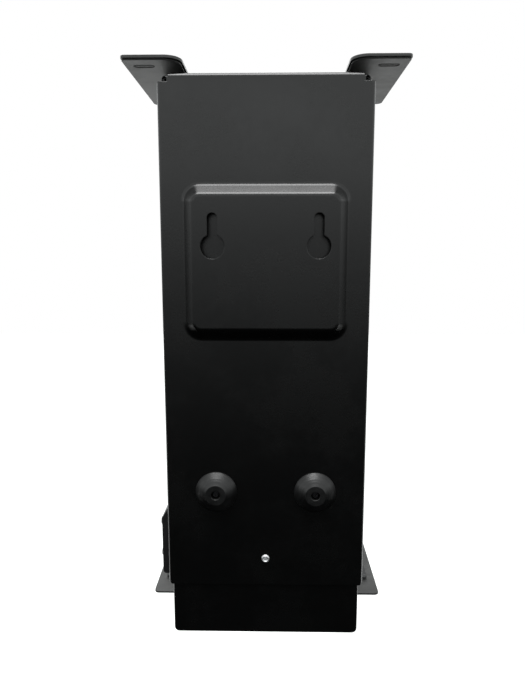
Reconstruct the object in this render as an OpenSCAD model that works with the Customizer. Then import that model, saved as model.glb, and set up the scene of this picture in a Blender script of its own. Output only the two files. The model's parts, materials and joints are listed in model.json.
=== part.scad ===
// Wall-hung phone charging kiosk.
// The wall is the plane y = 0 and the front faces -Y. The origin lies midway between the heads
// of the two keyholes that the kiosk hangs by. Millimetres throughout.

/* [Cabinet] */
// Width of the folded rear cover
cover_w = 151; // [148:1:152]
// Top edge of the rear cover above the keyhole heads
cover_top = 118; // [116:1:119]
// Lower edge of the rear cover below the keyhole heads
cover_drop = 260; // [258:1:262]
// Underside of the cabinet below the keyhole heads
cabinet_drop = 302; // [300:1:304]
// Depth of the folded sides of the rear cover
cover_depth = 41; // [40:1:46]
// Thickness of the sheet steel
sheet = 1.5; // [1.2:0.1:1.6]
// Outside radius of the folds
fold_r = 3; // [2.5:0.1:3.5]

/* [Wall fixing] */
// Distance between the two keyholes, and between the two bumpers
hang_pitch = 75; // [70:1:80]
// Radius of a keyhole's round head
key_head_r = 8.5; // [8:0.1:9]
// Half of the width of a keyhole's neck
key_neck_r = 3.6; // [3:0.1:4]
// Height of the end of the neck above the head
key_rise = 19.6; // [18:0.2:21]
// How far the embossed pad and the bumpers stand off the cover
stand_off = 8; // [7:0.5:9]
// Width and height of the foot of the pad
pad_foot = [121, 113];
// Width and height of the flat of the pad
pad_flat = [99, 93];
// Height of the bumpers below the keyhole heads
bumper_drop = 184; // [180:1:188]

/* [Front] */
// Width of the front frame, the door and the fascia
front_w = 154; // [152:1:156]
// Depth of the front frame
frame_depth = 30; // [29:1:32]
// Depth of the door and the fascia
door_depth = 9.6; // [9.2:0.1:10]

/* [Shelves] */
// Width of both shelves
shelf_w = 200; // [194:1:204]
// Depth of the upper shelf, from the face of the cover forwards
upper_depth = 120; // [110:1:125]
// Half of the width of the notch in the back of the upper shelf
notch_half = 58.5; // [56:0.5:62]
// Depth of the notch
notch_depth = 46; // [44:1:48]
// Underside of the upper shelf above the keyhole heads
upper_z = 125.8; // [125:0.1:126]
// Length and width of a slot in the arms of the upper shelf
slot_size = [15, 7];
// Distance between the two slots
slot_pitch = 172; // [168:1:174]
// Depth of the phone shelf
phone_shelf_depth = 110; // [100:1:120]
// Number of charging leads that leave the fascia
outlets = 6; // [6]
// Distance between the fins on the phone shelf
fin_pitch = 28; // [26:1:28]

/* [Hidden] */

$fn = 48;
hair = 0.02;        // thickness of the slices that a hull is stretched over
through = 60;       // longer than any hole is deep

// colours
coat_black = [0.10, 0.105, 0.105];
coat_dark = [0.16, 0.16, 0.155];
rubber_black = [0.05, 0.05, 0.05];
plastic_black = [0.08, 0.08, 0.085];
bright_steel = [0.75, 0.76, 0.77];
brass_yellow = [0.80, 0.66, 0.32];
clear_sheet = [0.80, 0.86, 0.90, 0.35];
card_white = [0.93, 0.93, 0.91];
board_green = [0.05, 0.30, 0.16];

// depths, all measured from the wall
face_y = -stand_off;                      // back face of the rear cover
inner_y = face_y - sheet;                 // back face of the chassis
frame_back_y = face_y - cover_depth;      // where the cover's sides end
frame_y = frame_back_y - frame_depth;     // face of the front frame
door_gap = 0.4;
door_back_y = frame_y - door_gap;
door_y = door_back_y - door_depth;        // face of the door
fascia_y = door_y;

// heights
cover_bottom = -cover_drop;
bottom_z = -cabinet_drop;
cover_corner_r = 3.5;                     // rounding of the cover's lower corners, seen from behind
fold_relief = 6;                          // the side folds stop this far below the top
flange_half = 67.3;                       // half length of the top fold
corner_hole_x = 70.1;                     // relief holes in the top corners of the chassis
corner_hole_z = [113.2, 114.1];
corner_hole_r = 1.6;
rivet_z = -238;

// chassis
side_gap = 1.6;                           // between the cover's sides and the chassis
chassis_w = cover_w - 2 * sheet - 2 * side_gap;
chassis_top = cover_top - sheet;
chassis_r = 4;
chassis_top_r = 3;
fold_clear = 1.8;                         // side of the square that is cut from its top back edge

// front frame
frame_r = 6;
frame_wall = 3.5;
frame_face = 4;
rail_h = 10;
door_hole_half = 62;
door_hole_z = [-196, 106];
fascia_hole_half = 67.2;
fascia_hole_z = [-288, -212];

// door
door_z = [-203, 123];
door_r = 5;
window_half = 56;
window_z = [-130, 98];
pane_lap = 6;
pane_t = 2;
card_t = 0.6;
card_gap = 0.3;                           // between the pane and the card
retainer_t = 3.5;
retainer_lap = 11;
gasket_t = 4;

// fascia
fascia_z = [-300, -207];
fascia_wall = 2.5;
outlet_pitch = 24;
outlet_z = -272;
outlet_bore_r = 3;
outlet_neck_r = 5.4;
outlet_flange_r = 7.5;
button_at = [50, -231];
button_r = 6.5;
bezel_bore_r = 6.8;
bezel_r = 9.5;
lens_at = [-54, -42, -30];
lens_r = 2.4;

// hinge
hinge_x = -front_w / 2 - 3.2;
hinge_y = frame_y - 0.2;
knuckle_r = 2.8;
pin_r = 1.5;
pin_gap = 0.05;
leaf_t = 1.2;
leaf_w = 14;
knuckle_len = 10;
knuckle_gap = 0.4;
hinge_mid_z = [70, -150];
knuckles = 5;

// lock
lock_at = [50, -165];
barrel_r = 9.5;
barrel_flange_r = 11.5;
plug_r = 6;
plug_gap = 0.05;
cam_t = 2;
cam_clear = 2;                            // between the cam and the inside of the frame's face
cam_y = frame_y + frame_face + cam_clear + cam_t;
cam_reach = 19;
cam_w = 12;
tail_r = 4;

// shelves
plate_t = 1.2;
board_t = 2;
board_proud = 1.2;
board_side_proud = 0.5;
arm_inner_r = 12;
arm_outer_r = 3.5;
slot_y = face_y - 13.3;
shelf_t = 1.5;
shelf_back_y = face_y - 58.7;
shelf_front_y = shelf_back_y - phone_shelf_depth;
lip_h = 10;
fin_t = 2;
fin_count = outlets + 1;
fin_back_y = fascia_y - 6;
fin_len = 80;
fin_h = 44;
fin_r = 18;
mat_t = 2;
mat_w = 186;

// side inlet
inlet_z = [-256.4, -201.5];
inlet_y = face_y - 20;
inlet_w = 22;
inlet_proud = 6;
inlet_mid_z = -229.8;
inlet_screw_pitch = 26.5;
inlet_body = [15, 14, 21];

// inside
board_size = [110, 1.6, 150];
board_z = -64;
standoff_h = 8;
supply_size = [84, 30, 99];
supply_z = -186;
supply_x = -50;
chassis_in_y = inner_y - sheet;

// ---------- helpers ----------

// upright slab: a drawing in X and Z, thickened forwards from y_back
module slab(y_back, depth) {
  translate([0, y_back, 0]) rotate([90, 0, 0]) linear_extrude(depth) children();
}

// rectangle between two corners with round corners; the upper pair may differ from the lower
module rounded(half, z, low_r, high_r) {
  translate([-half, z[0] + low_r]) square([2 * half, z[1] - z[0] - low_r - high_r]);
  translate([-half + low_r, z[0]]) square([2 * (half - low_r), low_r + 1]);
  translate([-half + high_r, z[1] - high_r - 1]) square([2 * (half - high_r), high_r + 1]);
  for (side = [-1, 1]) {
    translate([side * (half - low_r), z[0] + low_r]) circle(low_r);
    translate([side * (half - high_r), z[1] - high_r]) circle(high_r);
  }
}

// ring drawn between two rounded rectangles
module ring(half, z, r, wall) {
  difference() {
    rounded(half, z, r, r);
    rounded(half - wall, [z[0] + wall, z[1] - wall], max(r - wall, 1), max(r - wall, 1));
  }
}

// cylinder along Y, centred on x and z, from y_back forwards
module rod_y(x, z, r, y_back, depth) {
  translate([x, y_back, z]) rotate([90, 0, 0]) cylinder(r = r, h = depth);
}

// cylinder along X
module rod_x(x, y, z, r, depth) {
  translate([x, y, z]) rotate([0, 90, 0]) cylinder(r = r, h = depth);
}

// block from its lowest to its highest corner
module block(low, high) {
  translate(low) cube(high - low);
}

module both_sides() {
  children();
  mirror([1, 0, 0]) children();
}

// pan-head screw standing on z = 0, its shank going down
module pan_screw(head_r, head_h, shank_r, shank) {
  difference() {
    union() {
      cylinder(r = head_r, h = head_h * 0.55);
      translate([0, 0, head_h * 0.55])
        cylinder(r1 = head_r, r2 = head_r * 0.7, h = head_h * 0.45);
      translate([0, 0, -shank]) cylinder(r = shank_r, h = shank);
    }
    for (turn = [0, 90]) rotate([0, 0, turn])
      translate([-head_r * 0.55, -head_r * 0.11, head_h * 0.5])
        cube([head_r * 1.1, head_r * 0.22, head_h]);
  }
}

// the same screw driven from the wall side, or from the front
module screw_from_back(x, y, z, head_r, head_h, shank_r, shank) {
  translate([x, y, z]) rotate([-90, 0, 0]) pan_screw(head_r, head_h, shank_r, shank);
}

module screw_from_front(x, y, z, head_r, head_h, shank_r, shank) {
  translate([x, y, z]) rotate([90, 0, 0]) pan_screw(head_r, head_h, shank_r, shank);
}

function outlet_x(i) = (i - (outlets + 1) / 2) * outlet_pitch;
function fin_x(i) = (i - (fin_count + 1) / 2) * fin_pitch;

// ---------- rear shell ----------

// the embossed pad as a solid, drawn in by the sheet thickness for its hollow
module pad_form(inset, y_foot, y_flat) {
  mid_z = -11.5;
  foot = [for (s = pad_foot) s / 2 - inset];
  flat = [for (s = pad_flat) s / 2 - inset * 0.7];
  hull() {
    slab(y_foot, hair) rounded(foot[0], [mid_z - foot[1], mid_z + foot[1]], 10, 10);
    slab(y_flat, hair) rounded(flat[0], [mid_z - flat[1], mid_z + flat[1]], 4, 4);
  }
}

module keyhole(x) {
  rod_y(x, 0, key_head_r, 1, stand_off);
  rod_y(x, key_rise, key_neck_r, 1, stand_off);
  block([x - key_neck_r, 1 - stand_off, 0], [x + key_neck_r, 1, key_rise]);
}

module rear_cover() color(coat_black) {
  side_top = cover_top - fold_relief;
  half = cover_w / 2;
  difference() {
    union() {
      // back and folded sides
      translate([0, 0, cover_bottom]) linear_extrude(side_top - cover_bottom) difference() {
        union() {
          translate([-half, frame_back_y]) square([cover_w, cover_depth - fold_r]);
          translate([-half + fold_r, face_y - fold_r]) square([cover_w - 2 * fold_r, fold_r]);
          for (side = [-1, 1]) translate([side * (half - fold_r), face_y - fold_r]) circle(fold_r);
        }
        translate([-half + sheet, frame_back_y - 1])
          square([cover_w - 2 * sheet, cover_depth - sheet + 1]);
      }
      // top fold
      block([-flange_half, inner_y, side_top], [flange_half, face_y, cover_top - fold_r]);
      block([-flange_half, frame_back_y, cover_top - sheet],
            [flange_half, face_y - fold_r, cover_top]);
      intersection() {
        difference() {
          rod_x(-flange_half, face_y - fold_r, cover_top - fold_r, fold_r, 2 * flange_half);
          rod_x(-flange_half - 1, face_y - fold_r, cover_top - fold_r, fold_r - sheet,
                2 * flange_half + 2);
        }
        block([-flange_half, face_y - fold_r, cover_top - fold_r],
              [flange_half, face_y, cover_top]);
      }
      pad_form(0, face_y, 0);
    }
    pad_form(sheet, inner_y, -sheet);
    for (side = [-1, 1]) slab(face_y + 1, through) difference() {
      translate([side * half - cover_corner_r, cover_bottom - 1])
        square([2 * cover_corner_r, cover_corner_r + 1]);
      translate([side * (half - cover_corner_r), cover_bottom + cover_corner_r])
        circle(cover_corner_r);
    }
    for (side = [-1, 1]) {
      keyhole(side * hang_pitch / 2);
      rod_y(side * hang_pitch / 2, -bumper_drop, 2.1, face_y + 1, 4);
    }
    rod_y(0, rivet_z, 1.7, face_y + 1, 4);
    // window for the power inlet
    translate([cover_w / 2 - 3, inlet_y, inlet_mid_z])
      cube([12, inlet_body[1] + 1, inlet_body[2] + 1], center = true);
  }
}

module chassis_outline(inset) {
  rounded(chassis_w / 2 - inset, [bottom_z + inset, chassis_top - inset], chassis_r - inset,
          chassis_top_r - inset);
}

module chassis() color(coat_black) {
  depth = inner_y - frame_back_y;
  difference() {
    slab(inner_y, depth) chassis_outline(0);
    slab(inner_y - sheet, depth) chassis_outline(sheet);
    // long edge that clears the inside of the cover's top fold
    translate([0, inner_y, chassis_top]) rotate([45, 0, 0])
      cube([cover_w, fold_clear, fold_clear], center = true);
    // corner reliefs at the top
    both_sides() {
      for (z = corner_hole_z) rod_y(corner_hole_x, z, corner_hole_r, inner_y + 1, 4);
      block([corner_hole_x - corner_hole_r, inner_y - 3, corner_hole_z[0]],
            [corner_hole_x + corner_hole_r, inner_y + 1, corner_hole_z[1]]);
    }
    for (side = [-1, 1]) rod_y(side * hang_pitch / 2, -bumper_drop, 2.1, inner_y + 1, 4);
    rod_y(0, rivet_z, 1.7, inner_y + 1, 4);
    translate([cover_w / 2 - 3, inlet_y, inlet_mid_z])
      cube([12, inlet_body[1] + 1, inlet_body[2] + 1], center = true);
    // vent slots in the floor
    for (i = [-4 : 4]) {
      block([i * 12 - 1.5, inlet_y - 10, bottom_z - 1], [i * 12 + 1.5, inlet_y + 10, bottom_z + 4]);
    }
  }
}

module wall_bumper(side) color(rubber_black) {
  translate([side * hang_pitch / 2, face_y, -bumper_drop]) rotate([-90, 0, 0]) difference() {
    rotate_extrude() polygon([
      [2, 0], [15.8, 0], [15.8, 0.9], [15.2, 1.3], [12.6, 3.6], [12.1, 3.6], [11.6, 4.3],
      [9.4, 6.4], [8.9, 6.4], [8.2, 7.4], [7.6, stand_off], [2, stand_off]
    ]);
    translate([0, 0, 3]) cylinder(r = 3.2, h = stand_off);
  }
}

module bumper_screws() color(plastic_black)
  for (side = [-1, 1])
    screw_from_back(side * hang_pitch / 2, face_y + 3.6, -bumper_drop, 2.9, 1.8, 1.9, 6.4);

module bumper_washers() color(plastic_black)
  for (side = [-1, 1]) difference() {
    rod_y(side * hang_pitch / 2, -bumper_drop, 3.1, face_y + 3.6, 0.6);
    rod_y(side * hang_pitch / 2, -bumper_drop, 2, face_y + 4, 2);
  }

module cover_rivet() color(bright_steel) {
  translate([0, face_y, rivet_z]) rotate([-90, 0, 0]) difference() {
    union() {
      rotate_extrude() polygon([
        [0, 0], [3.2, 0], [3.1, 0.5], [2.6, 1.1], [1.8, 1.5], [0, 1.6]
      ]);
      translate([0, 0, -6]) cylinder(r = 1.6, h = 6.5);
      translate([0, 0, -6]) cylinder(r = 2.4, h = 6 - 2 * sheet);
    }
    translate([0, 0, 1]) cylinder(r = 0.9, h = 2);
  }
}

// ---------- power inlet on the side ----------

module inlet_socket_shape() {
  for (side = [-1, 1]) translate([0, side * 4.3]) circle(4);
  translate([-2.5, -4.3]) square([5, 8.6]);
}

module inlet_housing() color(plastic_black) {
  x = cover_w / 2;
  y = [inlet_y - inlet_w / 2, inlet_y + inlet_w / 2];
  difference() {
    union() {
      // outer shell: sloped at the top, rounded at the foot
      translate([0, y[1], 0]) rotate([90, 0, 0]) linear_extrude(inlet_w) union() {
        polygon([
          [x, inlet_z[0]], [x + inlet_proud - 3, inlet_z[0]], [x + inlet_proud, inlet_z[0] + 3],
          [x + inlet_proud, inlet_z[1] - 8], [x + 1.5, inlet_z[1]], [x, inlet_z[1]]
        ]);
        translate([x + inlet_proud - 3, inlet_z[0] + 3]) circle(3);
      }
      // body that passes through the side wall
      translate([x - inlet_body[0] / 2, inlet_y, inlet_mid_z]) cube(inlet_body, center = true);
    }
    translate([x - 8, inlet_y, inlet_mid_z]) rotate([90, 0, 90]) linear_extrude(30)
      inlet_socket_shape();
    for (side = [-1, 1]) {
      rod_x(x - 1, inlet_y, inlet_mid_z + side * inlet_screw_pitch / 2, 1.7, 20);
      rod_x(x - 20, inlet_y, inlet_mid_z + side * 4.3, 1.25, 20);
    }
  }
}

module inlet_pins() color(bright_steel)
  for (side = [-1, 1]) {
    rod_x(cover_w / 2 - 19, inlet_y, inlet_mid_z + side * 4.3, 1.2, 22);
    translate([cover_w / 2 + 3, inlet_y, inlet_mid_z + side * 4.3]) sphere(r = 1.2);
  }

module inlet_screws() color(plastic_black)
  for (side = [-1, 1])
    translate([cover_w / 2 + inlet_proud, inlet_y, inlet_mid_z + side * inlet_screw_pitch / 2])
      rotate([0, 90, 0]) pan_screw(3.9, 2.2, 1.6, inlet_proud);

// ---------- upper shelf ----------

// plan of one rear arm, on the +X side
module arm_plan(inner, outer, back) {
  front = -60;
  translate([inner, front]) square([outer - inner, back - arm_inner_r - front]);
  translate([inner + arm_inner_r, front])
    square([outer - inner - arm_inner_r - arm_outer_r, back - front]);
  translate([outer - arm_outer_r - 1, front]) square([arm_outer_r + 1, back - arm_outer_r - front]);
  translate([inner + arm_inner_r, back - arm_inner_r]) circle(arm_inner_r);
  translate([outer - arm_outer_r, back - arm_outer_r]) circle(arm_outer_r);
}

module upper_plan(proud, side_proud) {
  half = shelf_w / 2 - board_side_proud + side_proud;
  inner = notch_half + board_proud - proud;
  back = face_y + proud;
  front = face_y - upper_depth - proud;
  r = 5;
  difference() {
    union() {
      arm_plan(inner, half, back);
      mirror([1, 0]) arm_plan(inner, half, back);
      // middle, in front of the notch
      translate([-half, front + r])
        square([2 * half, face_y - notch_depth + proud - front - r]);
      translate([-half + r, front]) square([2 * (half - r), r + 1]);
      for (side = [-1, 1]) translate([side * (half - r), front + r]) circle(r);
    }
    for (side = [-1, 1]) translate([side * slot_pitch / 2, slot_y]) {
      reach = (slot_size[0] - slot_size[1]) / 2;
      square([2 * reach, slot_size[1]], center = true);
      for (end = [-1, 1]) translate([end * reach, 0]) circle(slot_size[1] / 2);
    }
    for (x = upper_screw_x) translate([x, upper_screw_y]) circle(2.1);
  }
}

upper_screw_x = [-62, -22, 22, 62];
upper_screw_y = frame_back_y - frame_depth / 2;

module upper_shelf_plate() color(coat_dark)
  translate([0, 0, upper_z]) linear_extrude(plate_t) upper_plan(0, 0);

module upper_shelf_board() color(plastic_black)
  translate([0, 0, upper_z + plate_t]) linear_extrude(board_t)
    upper_plan(board_proud, board_side_proud);

module upper_shelf_screws() color(plastic_black)
  for (x = upper_screw_x) translate([x, upper_screw_y, upper_z + plate_t + board_t])
    pan_screw(3.8, 2.2, 1.9, 12);

// ---------- phone shelf ----------

shelf_screw_y = frame_y + 6.5;

module phone_shelf() color(coat_dark) {
  half = shelf_w / 2;
  back_r = 4;
  front_r = 12;
  difference() {
    union() {
      translate([0, 0, bottom_z - shelf_t]) linear_extrude(shelf_t)
        rounded(half, [shelf_front_y, shelf_back_y], front_r, back_r);
      block([-half + front_r, shelf_front_y, bottom_z - shelf_t],
            [half - front_r, shelf_front_y + shelf_t, bottom_z + lip_h]);
    }
    for (x = upper_screw_x) translate([x, shelf_screw_y, bottom_z - 5]) cylinder(r = 2.1, h = 10);
  }
}

module shelf_mat() color(rubber_black) {
  difference() {
    translate([0, 0, bottom_z]) linear_extrude(mat_t)
      rounded(mat_w / 2, [shelf_front_y + 5, fascia_y - 1], 8, 3);
    for (i = [1 : fin_count])
      block([fin_x(i) - fin_t / 2, fin_back_y - fin_len, bottom_z - 1],
            [fin_x(i) + fin_t / 2, fin_back_y, bottom_z + mat_t + 1]);
  }
}

module shelf_ribs() color(coat_dark)
  for (side = [-1, 1]) difference() {
    block([side * 62 - 7, shelf_front_y + 14, bottom_z - shelf_t - 7],
          [side * 62 + 7, frame_y - 18, bottom_z - shelf_t]);
    block([side * 62 - 5.5, shelf_front_y + 13, bottom_z - shelf_t - 5.5],
          [side * 62 + 5.5, frame_y - 17, bottom_z - shelf_t + 1]);
  }

module shelf_screws() color(plastic_black)
  for (x = upper_screw_x) translate([x, shelf_screw_y, bottom_z - shelf_t])
    rotate([180, 0, 0]) pan_screw(3.8, 2.2, 1.9, 8);

// one upright fin between two phones, its upper front corner rounded
module divider(i) color(clear_sheet) {
  y = [fin_back_y - fin_len, fin_back_y];
  z = bottom_z + fin_h;
  translate([fin_x(i) + fin_t / 2, 0, 0]) rotate([90, 0, -90]) linear_extrude(fin_t) {
    translate([-y[1], bottom_z]) square([fin_len, fin_h - fin_r]);
    translate([-y[1] + 4, bottom_z]) square([fin_len - fin_r - 4, fin_h]);
    translate([-y[1], bottom_z]) square([8, fin_h - 4]);
    translate([-y[1] + 4, z - 4]) circle(4);
    translate([-y[0] - fin_r, z - fin_r]) circle(fin_r);
  }
}

// ---------- front frame and fascia ----------

module front_frame() color(coat_black) {
  half = front_w / 2;
  difference() {
    slab(frame_back_y, frame_depth) rounded(half, [bottom_z, upper_z], frame_r, frame_r);
    // hollow behind the face
    slab(frame_back_y + 1, frame_depth + 1 - frame_face)
      rounded(half - frame_wall, [bottom_z + rail_h, chassis_top - rail_h], 3, 3);
    // openings in the face
    slab(frame_back_y + 1, frame_depth + 2) rounded(door_hole_half, door_hole_z, 4, 4);
    slab(frame_back_y + 1, frame_depth + 2) rounded(fascia_hole_half, fascia_hole_z, 4, 4);
    for (x = upper_screw_x) {
      translate([x, upper_screw_y, upper_z - 10]) cylinder(r = 2, h = 20);
      translate([x, shelf_screw_y, bottom_z - 1]) cylinder(r = 2, h = 9);
    }
    for (x = [-1, 1], z = fascia_screw_z) rod_y(x * fascia_screw_x, z, 1.6, frame_y + 5, 10);
  }
}

fascia_screw_x = 70;
fascia_screw_z = [-293, -217];

module lower_fascia() color(plastic_black) {
  half = front_w / 2;
  depth = frame_y - fascia_y;
  difference() {
    slab(frame_y, depth) rounded(half, fascia_z, door_r, door_r);
    slab(frame_y + 1, depth + 1 - fascia_wall)
      rounded(fascia_hole_half, fascia_hole_z, 3, 3);
    for (i = [1 : outlets]) rod_y(outlet_x(i), outlet_z, outlet_neck_r, frame_y, through);
    for (x = lens_at) rod_y(x, button_at[1], lens_r, frame_y, through);
    rod_y(button_at[0], button_at[1], 8.2, frame_y, through);
    for (x = [-1, 1], z = fascia_screw_z) {
      rod_y(x * fascia_screw_x, z, 1.6, frame_y + 1, through);
      rod_y(x * fascia_screw_x, z, 3.2, fascia_y + 2.5, through);
    }
  }
}

module fascia_screws() color(bright_steel)
  for (x = [-1, 1], z = fascia_screw_z)
    screw_from_front(x * fascia_screw_x, fascia_y + 2.5, z, 2.9, 1.9, 1.5, 11);

module status_lenses() color([0.75, 0.85, 0.80])
  for (x = lens_at) {
    rod_y(x, button_at[1], lens_r, fascia_y + fascia_wall, fascia_wall);
    rod_y(x, button_at[1], lens_r + 1, fascia_y + fascia_wall + 1.5, 1.5);
    translate([x, fascia_y, button_at[1]]) intersection() {
      scale(lens_r) sphere(r = 1);
      block([-lens_r, -lens_r, -lens_r], [lens_r, 0, lens_r]);
    }
  }

module button_bezel() color(bright_steel)
  translate([button_at[0], fascia_y, button_at[1]]) rotate([90, 0, 0]) rotate_extrude()
    polygon([
      [bezel_bore_r, -8], [8.1, -8], [8.1, 0], [bezel_r, 0], [bezel_r, 0.8], [8.8, 1.6],
      [7.4, 1.6], [bezel_bore_r, 1]
    ]);

module power_button() color(plastic_black)
  translate([button_at[0], fascia_y, button_at[1]]) rotate([90, 0, 0]) rotate_extrude()
    polygon([
      [0, -7], [5, -7], [5, -4], [button_r, -4], [button_r, 2.4], [6, 2.9], [0, 2.6]
    ]);

// grommet that one charging lead comes out of
module outlet_bushing(i) color(rubber_black)
  translate([outlet_x(i), fascia_y, outlet_z]) rotate([90, 0, 0]) rotate_extrude()
    polygon([
      [outlet_bore_r, -6.5], [6.6, -6.5], [6.6, -5.5], [outlet_neck_r, -fascia_wall],
      [outlet_neck_r, 0], [outlet_flange_r, 0], [outlet_flange_r, 1], [6.4, 2.2],
      [4.4, 3.5], [outlet_bore_r, 3.5]
    ]);

// ---------- door ----------

module door_panel() color(coat_black) {
  half = front_w / 2;
  difference() {
    slab(door_back_y, door_depth) rounded(half, door_z, door_r, door_r);
    slab(door_back_y + 1, door_depth + 1 - sheet)
      rounded(half - sheet, [door_z[0] + sheet, door_z[1] - sheet], door_r - sheet, door_r - sheet);
    slab(door_back_y, through) rounded(window_half, window_z, 4, 4);
    rod_y(lock_at[0], lock_at[1], barrel_r + 0.1, door_back_y, through);
  }
}

pane_back_y = door_y + sheet + pane_t;
card_back_y = pane_back_y + card_gap + card_t;

module pane_outline(lap) {
  rounded(window_half + lap, [window_z[0] - lap, window_z[1] + lap], 4, 4);
}

module door_window() color(clear_sheet) slab(pane_back_y, pane_t) pane_outline(pane_lap);

module sign_card() color(card_white) slab(card_back_y, card_t) pane_outline(pane_lap - 1);

module window_retainer() color(plastic_black) difference() {
  slab(card_back_y + retainer_t, retainer_t + card_t + card_gap + pane_t) pane_outline(retainer_lap);
  slab(card_back_y + retainer_t + 1, through) pane_outline(-1);
  slab(card_back_y, through) pane_outline(pane_lap);
  for (side = [-1, 1], z = retainer_screw_z)
    rod_y(side * retainer_screw_x, z, 1.3, card_back_y + retainer_t + 1, through);
}

retainer_screw_x = window_half + 8.6;
retainer_screw_z = [-122, -16, 90];

module retainer_screws() color(bright_steel)
  for (side = [-1, 1], z = retainer_screw_z)
    screw_from_back(side * retainer_screw_x, card_back_y + retainer_t, z, 2.4, 1.4, 1.25, 6);

module door_gasket() color(rubber_black)
  slab(door_back_y + 0.1, door_depth - sheet + 0.1)
    ring(front_w / 2 - sheet, [door_z[0] + sheet, door_z[1] - sheet], door_r - sheet, gasket_t);

// ---------- hinges ----------

// one knuckle; turning knuckles have a running bore and fixed ones grip the pin
module knuckle(bottom, bore, leaf_dir) {
  length = knuckle_len - knuckle_gap;
  difference() {
    union() {
      translate([hinge_x, hinge_y, bottom]) cylinder(r = knuckle_r, h = length);
      translate([hinge_x, hinge_y, bottom])
        translate([2, leaf_dir > 0 ? 0 : -4, 0]) cube([leaf_t, 4, length]);
    }
    translate([hinge_x, hinge_y, bottom - 1]) cylinder(r = bore, h = length + 2);
  }
}

function knuckle_z(mid, k) = mid + (k - knuckles / 2) * knuckle_len + knuckle_gap / 2;

module hinge_leaves(leaf_dir, first, bore) {
  length = knuckles * knuckle_len - knuckle_gap;
  for (mid = hinge_mid_z) {
    for (k = [first : 2 : knuckles - 1]) knuckle(knuckle_z(mid, k), bore, leaf_dir);
    y = leaf_dir > 0 ? hinge_y + 3.2 : door_y + 0.6;
    depth = leaf_dir > 0 ? leaf_w : hinge_y - 3.2 - door_y - 0.6;
    translate([hinge_x + 2, y, mid - length / 2]) cube([leaf_t, depth, length]);
  }
}

module hinge_frame_leaves() color(bright_steel) hinge_leaves(1, 0, pin_r + 0.01);

module hinge_door_leaves() color(bright_steel) hinge_leaves(-1, 1, pin_r + pin_gap);

module hinge_pins() color(bright_steel)
  for (mid = hinge_mid_z) translate([hinge_x, hinge_y, mid]) {
    length = knuckles * knuckle_len;
    translate([0, 0, -length / 2]) cylinder(r = pin_r, h = length);
    translate([0, 0, length / 2]) cylinder(r = pin_r + 0.8, h = 1);
  }

// ---------- lock ----------

module lock_barrel() color(bright_steel) {
  back_y = cam_y - cam_t - 0.9;
  difference() {
    union() {
      rod_y(lock_at[0], lock_at[1], barrel_r, back_y, back_y - door_y);
      rod_y(lock_at[0], lock_at[1], barrel_flange_r, door_y, 1.4);
      translate([lock_at[0], door_y - 1.4, lock_at[1]]) rotate([90, 0, 0])
        cylinder(r1 = barrel_flange_r, r2 = barrel_flange_r - 1, h = 0.8);
    }
    rod_y(lock_at[0], lock_at[1], plug_r + plug_gap, back_y + 1, through);
  }
}

module lock_nut() color(bright_steel)
  difference() {
    translate([lock_at[0], door_y + sheet + 4, lock_at[1]]) rotate([90, 0, 0])
      cylinder(r = 14, h = 4, $fn = 6);
    rod_y(lock_at[0], lock_at[1], barrel_r, door_y + sheet + 5, 6);
  }

module lock_plug() color(brass_yellow) {
  front_y = door_y - 2;
  shoulder_y = cam_y - cam_t;
  difference() {
    union() {
      rod_y(lock_at[0], lock_at[1], plug_r, shoulder_y, shoulder_y - front_y);
      rod_y(lock_at[0], lock_at[1], tail_r, cam_y, cam_t + 0.5);
    }
    block([lock_at[0] - 0.8, front_y - 1, lock_at[1] - 4],
          [lock_at[0] + 0.8, front_y + 6, lock_at[1] + 4]);
    rod_y(lock_at[0], lock_at[1], 1.55, cam_y + 1, 7);
  }
}

// flat cam, hanging down when the lock is open
module lock_cam() color(bright_steel)
  difference() {
    slab(cam_y, cam_t) union() {
      translate(lock_at) circle(cam_w / 2 + 1);
      translate([lock_at[0] - cam_w / 2, lock_at[1] - cam_reach + 3]) square([cam_w, cam_reach - 3]);
      translate([lock_at[0] - cam_w / 2 + 3, lock_at[1] - cam_reach]) square([cam_w - 6, 4]);
      for (side = [-1, 1])
        translate([lock_at[0] + side * (cam_w / 2 - 3), lock_at[1] - cam_reach + 3]) circle(3);
    }
    rod_y(lock_at[0], lock_at[1], tail_r, cam_y + 1, cam_t + 2);
  }

module cam_screw() color(bright_steel)
  translate([lock_at[0], cam_y, lock_at[1]]) rotate([-90, 0, 0]) pan_screw(4.6, 2, 1.5, 5);

// ---------- inside ----------

module power_supply() color(bright_steel) {
  low = [supply_x, chassis_in_y - supply_size[1], supply_z];
  high = [supply_x + supply_size[0], chassis_in_y, supply_z + supply_size[2]];
  wall = 1;
  difference() {
    block(low, high);
    block([low[0] + wall, low[1] - 1, low[2] + wall], [high[0] - wall, high[1] - wall, high[2] - wall]);
  }
  // transformer and coils on the tray
  block([low[0] + 12, high[1] - 24, low[2] + 30], [low[0] + 40, high[1] - wall, low[2] + 58]);
  for (z = [18, 72, 86]) rod_y(low[0] + 60, low[2] + z, 6, high[1] - wall, 22);
}

module supply_cover() color(bright_steel) {
  y = chassis_in_y - supply_size[1];
  difference() {
    block([supply_x, y - 1, supply_z], [supply_x + supply_size[0], y, supply_z + supply_size[2]]);
    for (i = [0 : 8], j = [0 : 3])
      rod_y(supply_x + 14 + j * 18, supply_z + 14 + i * 9, 2.6, y + 1, 3);
  }
}

module terminal_block() color(plastic_black) {
  y = chassis_in_y - 18;
  difference() {
    block([supply_x + 6, y, supply_z - 16], [supply_x + 66, chassis_in_y, supply_z - 1]);
    for (i = [0 : 5]) rod_y(supply_x + 11 + i * 10, supply_z - 8.5, 3, y + 6, 8);
  }
}

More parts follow.
